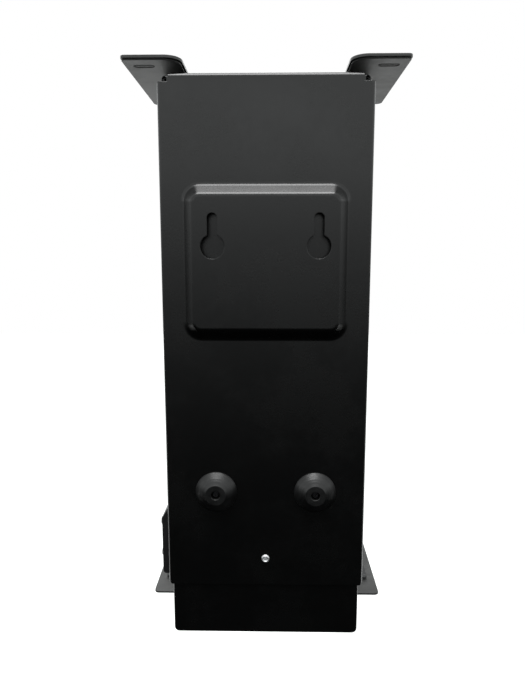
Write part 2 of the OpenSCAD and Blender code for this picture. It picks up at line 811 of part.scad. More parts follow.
module charge_board() color(board_green) {
  y = chassis_in_y - standoff_h;
  difference() {
    block([-board_size[0] / 2, y - board_size[1], board_z],
          [board_size[0] / 2, y, board_z + board_size[2]]);
    for (p = board_holes()) rod_y(p[0], p[1], 1.8, y + 1, 5);
  }
}

function board_holes() = [
  for (x = [-1, 1], z = [22, board_size[2] - 6]) [x * (board_size[0] / 2 - 6), board_z + z]
];

module board_standoffs() color(brass_yellow)
  for (p = board_holes()) difference() {
    translate([p[0], chassis_in_y, p[1]]) rotate([90, 0, 0])
      cylinder(r = 3.2, h = standoff_h, $fn = 6);
    rod_y(p[0], p[1], 1.5, chassis_in_y - 2, through);
  }

module board_screws() color(bright_steel)
  for (p = board_holes())
    screw_from_front(p[0], chassis_in_y - standoff_h - board_size[1], p[1], 2.8, 1.6, 1.4, 6);

module board_chips() color(plastic_black) {
  y = chassis_in_y - standoff_h - board_size[1];
  for (i = [0 : outlets - 1]) {
    x = -45 + i * 18;
    block([x - 6, y - 6, board_z + 38], [x + 6, y, board_z + 50]);
    block([x - 4, y - 1.6, board_z + 60], [x + 4, y, board_z + 70]);
    rod_y(x, board_z + 84, 4, y, 12);
  }
  block([-12, y - 2, board_z + 104], [12, y, board_z + 128]);
}

module charge_sockets() color(bright_steel) {
  y = chassis_in_y - standoff_h - board_size[1];
  for (i = [0 : outlets - 1]) {
    x = -45 + i * 18;
    difference() {
      block([x - 6.6, y - 7.2, board_z - 2], [x + 6.6, y, board_z + 14]);
      block([x - 5.8, y - 6.4, board_z - 3], [x + 5.8, y - 0.8, board_z + 9]);
    }
  }
}

// smooth curve through a list of points, in equal steps between each pair
function curve(p, steps) = let (last = len(p) - 1) concat(
  [for (i = [0 : last - 1], s = [0 : steps - 1]) let (
    t = s / steps,
    a = p[max(i - 1, 0)], b = p[i], c = p[i + 1], d = p[min(i + 2, last)]
  ) 0.5 * (2 * b + t * (c - a) + t * t * (2 * a - 5 * b + 4 * c - d)
           + t * t * t * (3 * b - a - 3 * c + d))],
  [p[last]]
);

// round wire swept along a curve that never runs straight forwards
module lead(points, r) {
  sides = 8;
  path = curve(points, 4);
  last = len(path) - 1;
  rings = [
    for (i = [0 : last]) let (
      step = path[min(i + 1, last)] - path[max(i - 1, 0)],
      dir = step / norm(step),
      cross_dir = cross(dir, [0, 1, 0]),
      u = cross_dir / norm(cross_dir),
      v = cross(dir, u)
    ) for (k = [0 : sides - 1]) let (turn = 360 * k / sides)
      path[i] + r * (cos(turn) * u + sin(turn) * v)
  ];
  walls = [
    for (i = [0 : last - 1], k = [0 : sides - 1]) let (next = (k + 1) % sides)
      [i * sides + k, (i + 1) * sides + k, (i + 1) * sides + next, i * sides + next]
  ];
  start = [for (k = [0 : sides - 1]) k];
  end = [for (k = [sides - 1 : -1 : 0]) last * sides + k];
  polyhedron(points = rings, faces = concat([start, end], walls));
}

module inner_leads() color([0.15, 0.15, 0.16]) {
  lead([
    [cover_w / 2 - 19, inlet_y, inlet_mid_z], [40, inlet_y, -227], [20, -24, -218],
    [7, -21, -210], [5, -20, supply_z - 16.1]
  ], 2.4);
  lead([
    [22, -25, supply_z + supply_size[2] + 0.1], [26, -25, -81], [42, -25, -77], [56, -24, -70],
    [62, -24, -54], [62, -24, 0], [60, -24, 30], [50, -24, 42], [38, -23, 44]
  ], 1.9);
}

// ---------- the kiosk ----------

rear_cover();
chassis();
wall_bumper(1);  // wall_bumper_left
wall_bumper(-1);  // wall_bumper_right
bumper_screws();
bumper_washers();
cover_rivet();
inlet_housing();
inlet_pins();
inlet_screws();
upper_shelf_plate();
upper_shelf_board();
upper_shelf_screws();
phone_shelf();
shelf_mat();
shelf_ribs();
shelf_screws();
front_frame();
lower_fascia();
fascia_screws();
status_lenses();
button_bezel();
power_button();
for (i = [1 : outlets])
  outlet_bushing(i);
for (i = [1 : fin_count])
  divider(i);
door_panel();
door_window();
sign_card();
window_retainer();
retainer_screws();
door_gasket();
hinge_frame_leaves();
hinge_door_leaves();
hinge_pins();
lock_barrel();
lock_nut();
lock_plug();
lock_cam();
cam_screw();
power_supply();
supply_cover();
terminal_block();
charge_board();
board_chips();
charge_sockets();
board_standoffs();
board_screws();
inner_leads();
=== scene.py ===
# %% [markdown]
# # A wall-hung phone charging kiosk
# The kiosk is a folded steel cabinet with a door, two shelves and a fascia that six charging leads
# come out of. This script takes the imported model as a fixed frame, gives every part a finish, and
# models again the parts whose shape carries the look: pressed, folded and moulded pieces with soft
# edges. The wall is the plane y = 0, the back faces +Y and the origin lies between the keyholes.

# %% Load the frame
import json
import math

import bmesh
import bpy
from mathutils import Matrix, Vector


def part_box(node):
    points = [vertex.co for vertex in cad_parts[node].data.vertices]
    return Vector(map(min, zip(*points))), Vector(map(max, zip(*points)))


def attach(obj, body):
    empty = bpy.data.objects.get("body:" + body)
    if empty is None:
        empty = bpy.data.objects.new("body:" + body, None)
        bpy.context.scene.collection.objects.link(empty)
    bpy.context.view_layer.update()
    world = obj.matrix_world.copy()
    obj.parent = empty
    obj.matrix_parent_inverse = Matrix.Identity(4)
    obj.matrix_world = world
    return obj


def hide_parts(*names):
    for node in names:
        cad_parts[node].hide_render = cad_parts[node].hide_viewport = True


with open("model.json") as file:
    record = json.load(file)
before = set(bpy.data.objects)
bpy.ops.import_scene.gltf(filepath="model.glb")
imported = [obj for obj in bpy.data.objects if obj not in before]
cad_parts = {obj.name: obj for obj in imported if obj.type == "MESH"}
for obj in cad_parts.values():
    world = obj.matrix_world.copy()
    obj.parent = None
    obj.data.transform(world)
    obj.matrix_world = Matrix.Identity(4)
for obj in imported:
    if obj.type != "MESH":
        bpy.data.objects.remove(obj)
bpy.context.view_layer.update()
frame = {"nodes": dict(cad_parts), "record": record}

MM = 0.001
for plain in list(bpy.data.materials):
    bpy.data.materials.remove(plain)

# %% [markdown]
# ## Places that the frame gives
# A new piece must sit exactly where the part that it stands for sat. So the driving places are read
# from the boxes of the loaded parts, and only radii and thicknesses are written as numbers.

# %% Read the driving places
cover_low, cover_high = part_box("rear_cover")
frame_low, frame_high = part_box("front_frame")
door_low, door_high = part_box("door_panel")
fascia_low, fascia_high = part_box("lower_fascia")

STAND_OFF = 8 * MM
SHEET = 1.5 * MM
cover_half = cover_high.x
face_y = cover_high.y - STAND_OFF
side_end_y = cover_low.y
print("cover face at y =", round(face_y / MM, 2), "mm, sides end at", round(side_end_y / MM, 2), "mm")

# %% [markdown]
# ## Camera
# The back is seen from a little over 400 mm away, almost square on, with the lens tilted down. A
# camera this close spreads the top of the kiosk and narrows its foot, so its distance and tilt
# matter as much as its direction.

# %% Set up the camera
EYE = Vector((-5.6, 418.7, -8.3)) * MM
TILT_DOWN = math.radians(8.82)
TURN = math.radians(1.06)
LENS = 30.3

lens_view = bpy.data.cameras.new("view_from_wall")
camera = bpy.data.objects.new("view_from_wall", lens_view)
bpy.context.scene.collection.objects.link(camera)
gaze = Vector((math.sin(TURN) * math.cos(TILT_DOWN), -math.cos(TURN) * math.cos(TILT_DOWN),
               -math.sin(TILT_DOWN)))
camera.location = EYE
camera.rotation_mode = "QUATERNION"
camera.rotation_quaternion = gaze.to_track_quat("-Z", "Y")
lens_view.lens = LENS
lens_view.sensor_width = 36
lens_view.clip_start = 0.01
lens_view.clip_end = 50
bpy.context.scene.camera = camera
print("camera", round((EYE.y - face_y) / MM), "mm from the cover, lens", LENS, "mm")

# %% [markdown]
# ## Floor and light
# Black paint shows little of its own colour. What is seen on it is the room: bright above the
# horizon and dark below, which is why the cover goes from grey at the top to near black at the
# foot. The room is a soft gradient on the world, with one large lamp overhead for the bevels.
# The pale floor lies on the door's side, where it lights the shelves from below.

# %% Pale floor
FLOOR_Z = -1.25

bpy.ops.object.select_all(action="DESELECT")
bpy.ops.mesh.primitive_plane_add(size=9, location=(0, -4.75, FLOOR_Z))
floor = bpy.context.object
floor.name = "pale_floor"
floor_paint = bpy.data.materials.new("pale_floor")
floor_paint.use_nodes = True
floor_shader = floor_paint.node_tree.nodes["Principled BSDF"]
floor_shader.inputs["Base Color"].default_value = (0.92, 0.92, 0.91, 1)
floor_shader.inputs["Roughness"].default_value = 0.8
floor_shader.inputs["Emission Color"].default_value = (1, 1, 1, 1)
floor_shader.inputs["Emission Strength"].default_value = 0.35
floor.data.materials.append(floor_paint)


# %% Room that the paint reflects
def room_light():
    """A gradient with height. The camera sees plain white instead, also through clear parts."""
    world = bpy.data.worlds.new("studio")
    bpy.context.scene.world = world
    world.use_nodes = True
    tree = world.node_tree
    tree.nodes.clear()
    place = tree.nodes.new("ShaderNodeTexCoord")
    parts = tree.nodes.new("ShaderNodeSeparateXYZ")
    height = tree.nodes.new("ShaderNodeMapRange")
    ramp = tree.nodes.new("ShaderNodeValToRGB")
    path = tree.nodes.new("ShaderNodeLightPath")
    seen = tree.nodes.new("ShaderNodeMath")
    seen.operation = "MAXIMUM"
    room = tree.nodes.new("ShaderNodeBackground")
    white = tree.nodes.new("ShaderNodeBackground")
    mix = tree.nodes.new("ShaderNodeMixShader")
    out = tree.nodes.new("ShaderNodeOutputWorld")
    height.inputs["From Min"].default_value = -1
    stops = [(0.0, 0.004), (0.3, 0.004), (0.36, 0.02), (0.42, 0.07), (0.47, 0.17), (0.53, 0.33),
             (0.58, 0.62), (0.61, 1.0), (0.65, 0.56), (1.0, 0.58)]
    while len(ramp.color_ramp.elements) < len(stops):
        ramp.color_ramp.elements.new(0.5)
    for stop, (where, level) in zip(ramp.color_ramp.elements, stops):
        stop.position = where
        stop.color = (level * 0.97, level, level, 1)
    room.inputs["Strength"].default_value = 1.85
    white.inputs["Color"].default_value = (1, 1, 1, 1)
    link = tree.links.new
    link(place.outputs["Generated"], parts.inputs[0])
    link(parts.outputs["Z"], height.inputs["Value"])
    link(height.outputs["Result"], ramp.inputs["Fac"])
    link(ramp.outputs["Color"], room.inputs["Color"])
    link(path.outputs["Is Camera Ray"], seen.inputs[0])
    link(path.outputs["Is Transmission Ray"], seen.inputs[1])
    link(seen.outputs[0], mix.inputs["Fac"])
    link(room.outputs[0], mix.inputs[1])
    link(white.outputs[0], mix.inputs[2])
    link(mix.outputs[0], out.inputs["Surface"])


def soft_lamp(name, place, aim, width, power):
    """A square lamp that points at a place."""
    lamp = bpy.data.lights.new(name, "AREA")
    lamp.size = width
    lamp.energy = power
    holder = bpy.data.objects.new(name, lamp)
    bpy.context.scene.collection.objects.link(holder)
    holder.location = place
    holder.rotation_mode = "QUATERNION"
    holder.rotation_quaternion = (Vector(aim) - Vector(place)).to_track_quat("-Z", "Y")
    return holder


room_light()
soft_lamp("overhead", (0.05, 0.25, 1.15), (0, 0, 0), 0.8, 18)
soft_lamp("door_side", (0.1, -1.4, 0.7), (0, 0, -0.1), 1.3, 8)
bpy.context.scene.view_settings.view_transform = "Standard"

# %% [markdown]
# ## Tools for materials
# A finish is a small tree of nodes. Three helpers keep each tree short: one adds a node and plugs
# in its inputs, one does sums, and one maps a value from one range to another.


# %% Node helpers
def put(tree, kind, settings=None, **inputs):
    """Adds a node. Inputs are named as on the node, with _ for a space, and take sockets or values."""
    node = tree.nodes.new("ShaderNode" + kind)
    for key, value in (settings or {}).items():
        setattr(node, key, value)
    for key, value in inputs.items():
        plug(tree, value, node.inputs[key.replace("_", " ")])
    return node


def plug(tree, value, socket):
    if isinstance(value, bpy.types.NodeSocket):
        tree.links.new(value, socket)
    else:
        socket.default_value = value


def sums(tree, operation, *values):
    node = tree.nodes.new("ShaderNodeMath")
    node.operation = operation
    for value, socket in zip(values, node.inputs):
        plug(tree, value, socket)
    return node.outputs[0]


def spread(tree, value, low, high, to_low=0.0, to_high=1.0):
    """Maps low..high onto to_low..to_high, smoothly, and holds it there."""
    node = put(tree, "MapRange", {"interpolation_type": "SMOOTHSTEP"}, Value=value,
               From_Min=low, From_Max=high, To_Min=to_low, To_Max=to_high)
    return node.outputs["Result"]


def tint(tree, mask, colour_a, colour_b):
    node = put(tree, "Mix", {"data_type": "RGBA"})
    plug(tree, mask, node.inputs["Factor"])
    plug(tree, colour_a, node.inputs[6])
    plug(tree, colour_b, node.inputs[7])
    return node.outputs[2]


def effect(name, inputs, outputs):
    """An empty node group with named sockets, its place on the object, and its ends."""
    group = bpy.data.node_groups.new(name, "ShaderNodeTree")
    for title, value in inputs.items():
        kind = "NodeSocketColor" if isinstance(value, tuple) else "NodeSocketFloat"
        group.interface.new_socket(title, in_out="INPUT", socket_type=kind).default_value = value
    for title, kind in outputs.items():
        group.interface.new_socket(title, in_out="OUTPUT", socket_type="NodeSocket" + kind)
    start = group.nodes.new("NodeGroupInput").outputs
    end = group.nodes.new("NodeGroupOutput").inputs
    place = group.nodes.new("ShaderNodeTexCoord").outputs["Object"]
    return group, start, end, place


# %% [markdown]
# ## Effects that several finishes share
# Powder paint has a faint ripple like orange peel with a finer grain in it. Moulded plastic and
# rubber carry the sparked texture of their mould. Handled surfaces go patchy in their gloss, and
# edges lose a little paint. Each effect is one node group, used by many materials at its own size.


# %% Paint ripple and grain
def make_paint_ripple():
    group, start, end, place = effect(
        "paint ripple", {"Ripple": 700.0, "Grain": 3200.0, "Grain Share": 0.35},
        {"Height": "Float", "Mask": "Float"})
    ripple = put(group, "TexNoise", Vector=place, Scale=start["Ripple"], Detail=2.0, Roughness=0.5)
    grain = put(group, "TexNoise", Vector=place, Scale=start["Grain"], Detail=1.0, Roughness=0.5)
    shared = sums(group, "MULTIPLY", grain.outputs["Fac"], start["Grain Share"])
    plug(group, sums(group, "ADD", ripple.outputs["Fac"], shared), end["Height"])
    plug(group, spread(group, grain.outputs["Fac"], 0.45, 0.7), end["Mask"])
    return group


# %% Patchy gloss from handling
def make_handling():
    group, start, end, place = effect("handling", {"Scale": 18.0}, {"Mask": "Float"})
    wide = put(group, "TexNoise", Vector=place, Scale=start["Scale"], Detail=4.0, Roughness=0.6)
    fine_scale = sums(group, "MULTIPLY", start["Scale"], 9.0)
    fine = put(group, "TexNoise", Vector=place, Scale=fine_scale, Detail=3.0, Roughness=0.7)
    mixed = sums(group, "MULTIPLY_ADD", fine.outputs["Fac"], 0.35, wide.outputs["Fac"])
    plug(group, spread(group, mixed, 0.5, 0.85), end["Mask"])
    return group


# %% Worn edges
def make_edge_wear():
    """Where the surface turns sharply, broken up so that only flecks of it show."""
    group, start, end, place = effect(
        "edge wear", {"Radius": 0.0008, "Amount": 0.5}, {"Mask": "Float"})
    rounded = put(group, "Bevel", {"samples": 6}, Radius=start["Radius"])
    true_normal = put(group, "NewGeometry").outputs["Normal"]
    turn = put(group, "VectorMath", {"operation": "DOT_PRODUCT"})
    plug(group, rounded.outputs["Normal"], turn.inputs[0])
    plug(group, true_normal, turn.inputs[1])
    sharp = spread(group, sums(group, "SUBTRACT", 1.0, turn.outputs["Value"]), 0.02, 0.22)
    flecks = put(group, "TexNoise", Vector=place, Scale=260.0, Detail=5.0, Roughness=0.7)
    level = sums(group, "SUBTRACT", 1.0, start["Amount"])
    broken = spread(group, sums(group, "SUBTRACT", flecks.outputs["Fac"], sums(
        group, "MULTIPLY", level, 0.4)), 0.22, 0.42)
    plug(group, sums(group, "MULTIPLY", sharp, broken), end["Mask"])
    return group


# %% Dust on level surfaces
def make_dust():
    group, start, end, place = effect("dust", {"Amount": 0.3}, {"Mask": "Float"})
    normal = put(group, "NewGeometry").outputs["Normal"]
    up = put(group, "SeparateXYZ", Vector=normal).outputs["Z"]
    level = spread(group, up, 0.55, 0.98)
    patches = put(group, "TexNoise", Vector=place, Scale=55.0, Detail=6.0, Roughness=0.75)
    specks = spread(group, patches.outputs["Fac"], 0.42, 0.7)
    plug(group, sums(group, "MULTIPLY", sums(group, "MULTIPLY", level, specks), start["Amount"]),
         end["Mask"])
    return group


# %% Sparked mould texture
def make_mould_grain():
    group, start, end, place = effect("mould grain", {"Scale": 1500.0}, {"Height": "Float"})
    pits = put(group, "TexVoronoi", {"feature": "SMOOTH_F1"}, Vector=place, Scale=start["Scale"],
               Smoothness=0.6)
    noise = put(group, "TexNoise", Vector=place, Scale=start["Scale"], Detail=2.0)
    plug(group, sums(group, "ADD", pits.outputs["Distance"], noise.outputs["Fac"]), end["Height"])
    return group


# %% Fine lines on bare metal
def make_brushing():
    """Lines that run along Z, as rolling and brushing leave them."""
    group, start, end, place = effect("brushing", {"Scale": 900.0}, {"Height": "Float"})
    squeezed = put(group, "Mapping", Vector=place)
    squeezed.inputs["Scale"].default_value = (1, 1, 0.03)
    lines = put(group, "TexNoise", Vector=squeezed.outputs["Vector"], Scale=start["Scale"],
                Detail=3.0, Roughness=0.6)
    plug(group, lines.outputs["Fac"], end["Height"])
    return group


paint_ripple = make_paint_ripple()
handling = make_handling()
edge_wear = make_edge_wear()
dust = make_dust()
mould_grain = make_mould_grain()
brushing = make_brushing()
print("shared effects:", [group.name for group in bpy.data.node_groups])


# %% Place an effect in a material
def use(tree, group, **inputs):
    node = tree.nodes.new("ShaderNodeGroup")
    node.node_tree = group
    for key, value in inputs.items():
        plug(tree, value, node.inputs[key.replace("_", " ")])
    return node.outputs


def blank(name, **plain):
    """A material with its shader and its tree. Plain values go straight onto the shader."""
    made = bpy.data.materials.new(name)
    made.use_nodes = True
    shader = made.node_tree.nodes["Principled BSDF"]
    for key, value in plain.items():
        shader.inputs[key.replace("_", " ")].default_value = value
    return made, made.node_tree, shader.inputs


def relief(tree, height, strength, distance, round_edge=0.0):
    """A normal from a height, laid over softened edges where a radius is given."""
    bump = put(tree, "Bump", Height=height, Strength=strength, Distance=distance)
    if round_edge:
        softened = put(tree, "Bevel", {"samples": 6}, Radius=round_edge)
        plug(tree, softened.outputs["Normal"], bump.inputs["Normal"])
    return bump.outputs["Normal"]


# %% [markdown]
# ## Powder coat
# The steel is sprayed with dry powder and baked. The paint flows a little before it sets, which
# leaves a low ripple, a satin gloss and rounded edges. Sharp CAD edges are softened in the normal,
# so that folds and punched edges catch a thin line of light as thick paint does.


# %% Powder coat
def powder_coat(name, colour, pale, gloss, wear, ripple=0.22, dusty=0.25):
    """gloss is (smoothest, roughest); pale is the colour where the coat is worn or dusty."""
    made, tree, shader = blank(name)
    texture = use(tree, paint_ripple, Ripple=650.0, Grain=3000.0)
    patches = use(tree, handling, Scale=14.0)["Mask"]
    worn = use(tree, edge_wear, Radius=0.9 * MM, Amount=wear)["Mask"]
    dirt = use(tree, dust, Amount=dusty)["Mask"]
    shade = tuple(part * 1.25 for part in colour[:3]) + (1,)
    mottled = tint(tree, sums(tree, "MULTIPLY", texture["Mask"], 0.6), colour, shade)
    dusted = tint(tree, dirt, mottled, pale)
    plug(tree, tint(tree, sums(tree, "MULTIPLY", worn, 0.35), dusted, pale), shader["Base Color"])
    rough = spread(tree, patches, 0.0, 1.0, gloss[0], gloss[1])
    rougher = sums(tree, "MULTIPLY_ADD", dirt, 0.3, rough)
    plug(tree, rougher, shader["Roughness"])
    plug(tree, relief(tree, texture["Height"], ripple, 0.12 * MM, 0.7 * MM), shader["Normal"])
    return made


black_coat = powder_coat("black_coat", (0.0018, 0.0019, 0.0019, 1), (0.07, 0.07, 0.068, 1),
                         (0.22, 0.28), 0.3, dusty=0.08)
shelf_coat = powder_coat("shelf_coat", (0.014, 0.014, 0.013, 1), (0.08, 0.08, 0.078, 1),
                         (0.5, 0.58), 0.3)

# %% [markdown]
# ## Rubber and moulded plastic
# Rubber reflects light only softly, so it is rough, with a faint bloom on what faces up.
# Moulded plastic is a little glossier, and its grain comes from the sparked wall of the mould.


# %% Rubber
def rubber(name, colour, bloom, rough=0.68, grain=1400.0):
    made, tree, shader = blank(name, Specular_IOR_Level=0.55)
    texture = use(tree, mould_grain, Scale=grain)["Height"]
    patches = use(tree, handling, Scale=45.0)["Mask"]
    dirt = use(tree, dust, Amount=0.3)["Mask"]
    plug(tree, tint(tree, dirt, tint(tree, patches, colour, tuple(
        part * 1.5 for part in colour[:3]) + (1,)), bloom), shader["Base Color"])
    plug(tree, spread(tree, patches, 0.0, 1.0, rough - 0.08, rough + 0.08), shader["Roughness"])
    plug(tree, relief(tree, texture, 0.25, 0.08 * MM, 0.4 * MM), shader["Normal"])
    return made


bumper_rubber = rubber("bumper_rubber", (0.003, 0.0031, 0.0032, 1), (0.04, 0.04, 0.038, 1), 0.4)
rubber("mat_rubber", (0.013, 0.013, 0.0135, 1), (0.08, 0.08, 0.078, 1))
bushing_rubber = rubber("bushing_rubber", (0.011, 0.011, 0.011, 1), (0.06, 0.06, 0.06, 1))


# %% Moulded plastic
def moulded(name, colour, rough, grain=1700.0, depth=0.22, scuffed=0.3):
    made, tree, shader = blank(name)
    texture = use(tree, mould_grain, Scale=grain)["Height"]
    patches = use(tree, handling, Scale=26.0)["Mask"]
    worn = use(tree, edge_wear, Radius=0.6 * MM, Amount=scuffed)["Mask"]
    pale = tuple(0.6 * part + 0.06 for part in colour[:3]) + (1,)
    shade = tuple(part * 1.3 for part in colour[:3]) + (1,)
    base = tint(tree, patches, colour, shade)
    plug(tree, tint(tree, sums(tree, "MULTIPLY", worn, 0.4), base, pale), shader["Base Color"])
    plug(tree, spread(tree, patches, 0.0, 1.0, rough, rough + 0.1), shader["Roughness"])
    plug(tree, relief(tree, texture, depth, 0.08 * MM, 0.5 * MM), shader["Normal"])
    return made


inlet_plastic = moulded("inlet_plastic", (0.008, 0.008, 0.0085, 1), 0.4)
fascia_plastic = moulded("fascia_plastic", (0.014, 0.014, 0.0145, 1), 0.42)
moulded("chip_black", (0.02, 0.02, 0.022, 1), 0.5, grain=2600.0)
moulded("lead_sheath", (0.016, 0.016, 0.017, 1), 0.5, depth=0.1)
button_plastic = moulded("button_plastic", (0.014, 0.014, 0.015, 1), 0.18, depth=0.04)


# %% Laminate of the upper shelf
def laminate(name, colour, pore):
    """Fine pores that run along the shelf, over a satin skin."""
    made, tree, shader = blank(name)
    place = put(tree, "TexCoord").outputs["Object"]
    along = put(tree, "Mapping", Vector=place)
    along.inputs["Scale"].default_value = (0.08, 1, 1)
    grain = put(tree, "TexNoise", Vector=along.outputs["Vector"], Scale=900.0, Detail=4.0)
    lines = spread(tree, grain.outputs["Fac"], 0.5, 0.68)
    dirt = use(tree, dust, Amount=0.25)["Mask"]
    grained = tint(tree, lines, colour, pore)
    plug(tree, tint(tree, dirt, grained, (0.16, 0.16, 0.155, 1)), shader["Base Color"])
    plug(tree, spread(tree, lines, 0.0, 1.0, 0.42, 0.55), shader["Roughness"])
    plug(tree, relief(tree, grain.outputs["Fac"], 0.15, 0.06 * MM, 0.4 * MM), shader["Normal"])
    return made


shelf_board = laminate("shelf_board", (0.030, 0.031, 0.030, 1), (0.020, 0.021, 0.020, 1))

# %% [markdown]
# ## Bare metal
# Zinc plate is soft grey with a faint spangle, aluminium shows brushing, nickel is nearly a mirror,
# and screws are blackened. The difference is in the colour, the roughness and how the lines run.


# %% Bare metal
def bare_metal(name, colour, rough, lines=0.12, scale=900.0, tarnish=0.25):
    made, tree, shader = blank(name, Metallic=1.0)
    brushed = use(tree, brushing, Scale=scale)["Height"]
    patches = use(tree, handling, Scale=60.0)["Mask"]
    dull = tuple(part * 0.72 for part in colour[:3]) + (1,)
    plug(tree, tint(tree, sums(tree, "MULTIPLY", patches, tarnish), colour, dull),
         shader["Base Color"])
    plug(tree, spread(tree, patches, 0.0, 1.0, rough, rough + 0.12), shader["Roughness"])
    plug(tree, relief(tree, brushed, lines, 0.05 * MM, 0.25 * MM), shader["Normal"])
    return made


bare_metal("zinc_steel", (0.62, 0.63, 0.63, 1), 0.32, tarnish=0.6)
bright_rivet = bare_metal("bright_rivet", (0.86, 0.87, 0.88, 1), 0.34, lines=0.05)
nickel_pin = bare_metal("nickel_pin", (0.76, 0.74, 0.69, 1), 0.14, lines=0.04)
brass = bare_metal("brass", (0.78, 0.58, 0.26, 1), 0.24)
bare_metal("supply_metal", (0.66, 0.67, 0.68, 1), 0.36, lines=0.25, scale=600.0)
bare_metal("black_screw", (0.045, 0.045, 0.048, 1), 0.38, lines=0.05)


# %% [markdown]
# ## Clear parts, card and circuit board
# The pane and the fins are cast acrylic, so they are left as plain glass with a faint haze of
# scratches. The card behind the pane is blank, with a grey border. The circuit board has traces
# under its green lacquer.


# %% Clear acrylic
def acrylic(name, colour, haze):
    made, tree, shader = blank(name, IOR=1.49, Transmission_Weight=1.0)
    place = put(tree, "TexCoord").outputs["Object"]
    scratches = put(tree, "TexNoise", Vector=place, Scale=420.0, Detail=6.0, Roughness=0.8)
    fine = spread(tree, scratches.outputs["Fac"], 0.55, 0.75)
    plug(tree, spread(tree, fine, 0.0, 1.0, haze, haze + 0.09), shader["Roughness"])
    plug(tree, tint(tree, fine, colour, tuple(part * 0.97 for part in colour[:3]) + (1,)),
         shader["Base Color"])
    plug(tree, relief(tree, scratches.outputs["Fac"], 0.02, 0.05 * MM), shader["Normal"])
    return made


acrylic("clear_pane", (0.97, 0.98, 0.98, 1), 0.03)
divider_acrylic = acrylic("divider_acrylic", (0.93, 0.97, 0.98, 1), 0.05)


# %% Status lens
def tinted_lens():
    """A milky lens under a clear gloss."""
    made, tree, shader = blank("lens", IOR=1.46, Coat_Weight=0.6, Coat_Roughness=0.05)
    place = put(tree, "TexCoord").outputs["Object"]
    frost = put(tree, "TexNoise", Vector=place, Scale=800.0, Detail=2.0)
    milk = spread(tree, frost.outputs["Fac"], 0.3, 0.7)
    plug(tree, tint(tree, milk, (0.50, 0.72, 0.60, 1), (0.62, 0.82, 0.70, 1)), shader["Base Color"])
    plug(tree, spread(tree, milk, 0.0, 1.0, 0.12, 0.2), shader["Roughness"])
    return made


tinted_lens()


# %% Blank card with a border
def sign_paper():
    made, tree, shader = blank("card", Roughness=0.7)
    low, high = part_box("sign_card")
    middle = (low + high) / 2
    place = put(tree, "TexCoord").outputs["Object"]
    parts = put(tree, "SeparateXYZ", Vector=place).outputs
    border = 11 * MM

    def edge_distance(value, centre, half):
        away = sums(tree, "ABSOLUTE", sums(tree, "SUBTRACT", value, centre))
        return sums(tree, "SUBTRACT", half, away)

    side = edge_distance(parts["X"], middle.x, (high.x - low.x) / 2)
    end = edge_distance(parts["Z"], middle.z, (high.z - low.z) / 2)
    nearest = sums(tree, "MINIMUM", side, end)
    line = sums(tree, "COMPARE", nearest, border + 1.2 * MM, 0.8 * MM)
    fibre = put(tree, "TexNoise", Vector=place, Scale=1500.0, Detail=4.0)
    paper = tint(tree, fibre.outputs["Fac"], (0.80, 0.80, 0.785, 1), (0.86, 0.86, 0.845, 1))
    plug(tree, tint(tree, line, paper, (0.30, 0.31, 0.32, 1)), shader["Base Color"])
    plug(tree, relief(tree, fibre.outputs["Fac"], 0.1, 0.03 * MM), shader["Normal"])
    return made


sign_paper()


# %% Circuit board
def lacquered_board():
    """Copper traces show paler through the lacquer."""
    made, tree, shader = blank("board_green", Coat_Weight=0.5, Coat_Roughness=0.12)
    place = put(tree, "TexCoord").outputs["Object"]
    traces = put(tree, "TexBrick", Vector=place, Scale=220.0, Mortar_Size=0.012)
    flat = put(tree, "Mapping", Vector=place)
    flat.inputs["Rotation"].default_value = (math.radians(90), 0, 0)
    plug(tree, flat.outputs["Vector"], traces.inputs["Vector"])
    line = traces.outputs["Fac"]
    plug(tree, tint(tree, line, (0.012, 0.10, 0.045, 1), (0.03, 0.19, 0.08, 1)),
         shader["Base Color"])
    plug(tree, spread(tree, line, 0.0, 1.0, 0.32, 0.24), shader["Roughness"])
    plug(tree, relief(tree, line, 0.2, 0.04 * MM), shader["Normal"])
    return made


lacquered_board()

# %% [markdown]
# ## Give every loaded part its finish
# Each part names the slot that its finish comes from, and the finishes above carry the same names.
# So one loop dresses them all, and a part with no finish stops the script here.

# %% Dress the loaded parts
for part in frame["record"]["subparts"]:
    node = frame["nodes"][part["node"]]
    finish = bpy.data.materials[part["material_slot"]]
    node.data.materials.clear()
    node.data.materials.append(finish)

# %% [markdown]
# ## Tools for modelling
# Each new piece starts as a primitive at its place, and edit tools shape it. The tools act on what
# is selected, so one helper selects by place and direction. Others take up one piece, run and apply
# a modifier, and cut holes. The last gives a finished piece its material and its body, and hides the
# part that it stands for.


# %% Modelling helpers
def leave_edit():
    if bpy.context.mode != "OBJECT":
        bpy.ops.object.mode_set(mode="OBJECT")


def take_up(piece):
    """Makes a piece the only selected one and the active one."""
    leave_edit()
    bpy.ops.object.select_all(action="DESELECT")
    bpy.context.view_layer.objects.active = piece
    piece.select_set(True)


def start(name, add, scale=(1, 1, 1), **place):
    """Adds a primitive at its size and place, and opens it for editing."""
    leave_edit()
    bpy.ops.object.select_all(action="DESELECT")
    add(**place)
    piece = bpy.context.object
    piece.name = piece.data.name = name
    piece.scale = scale
    bpy.ops.object.transform_apply(location=True, rotation=True, scale=True)
    bpy.ops.object.mode_set(mode="EDIT")
    return piece


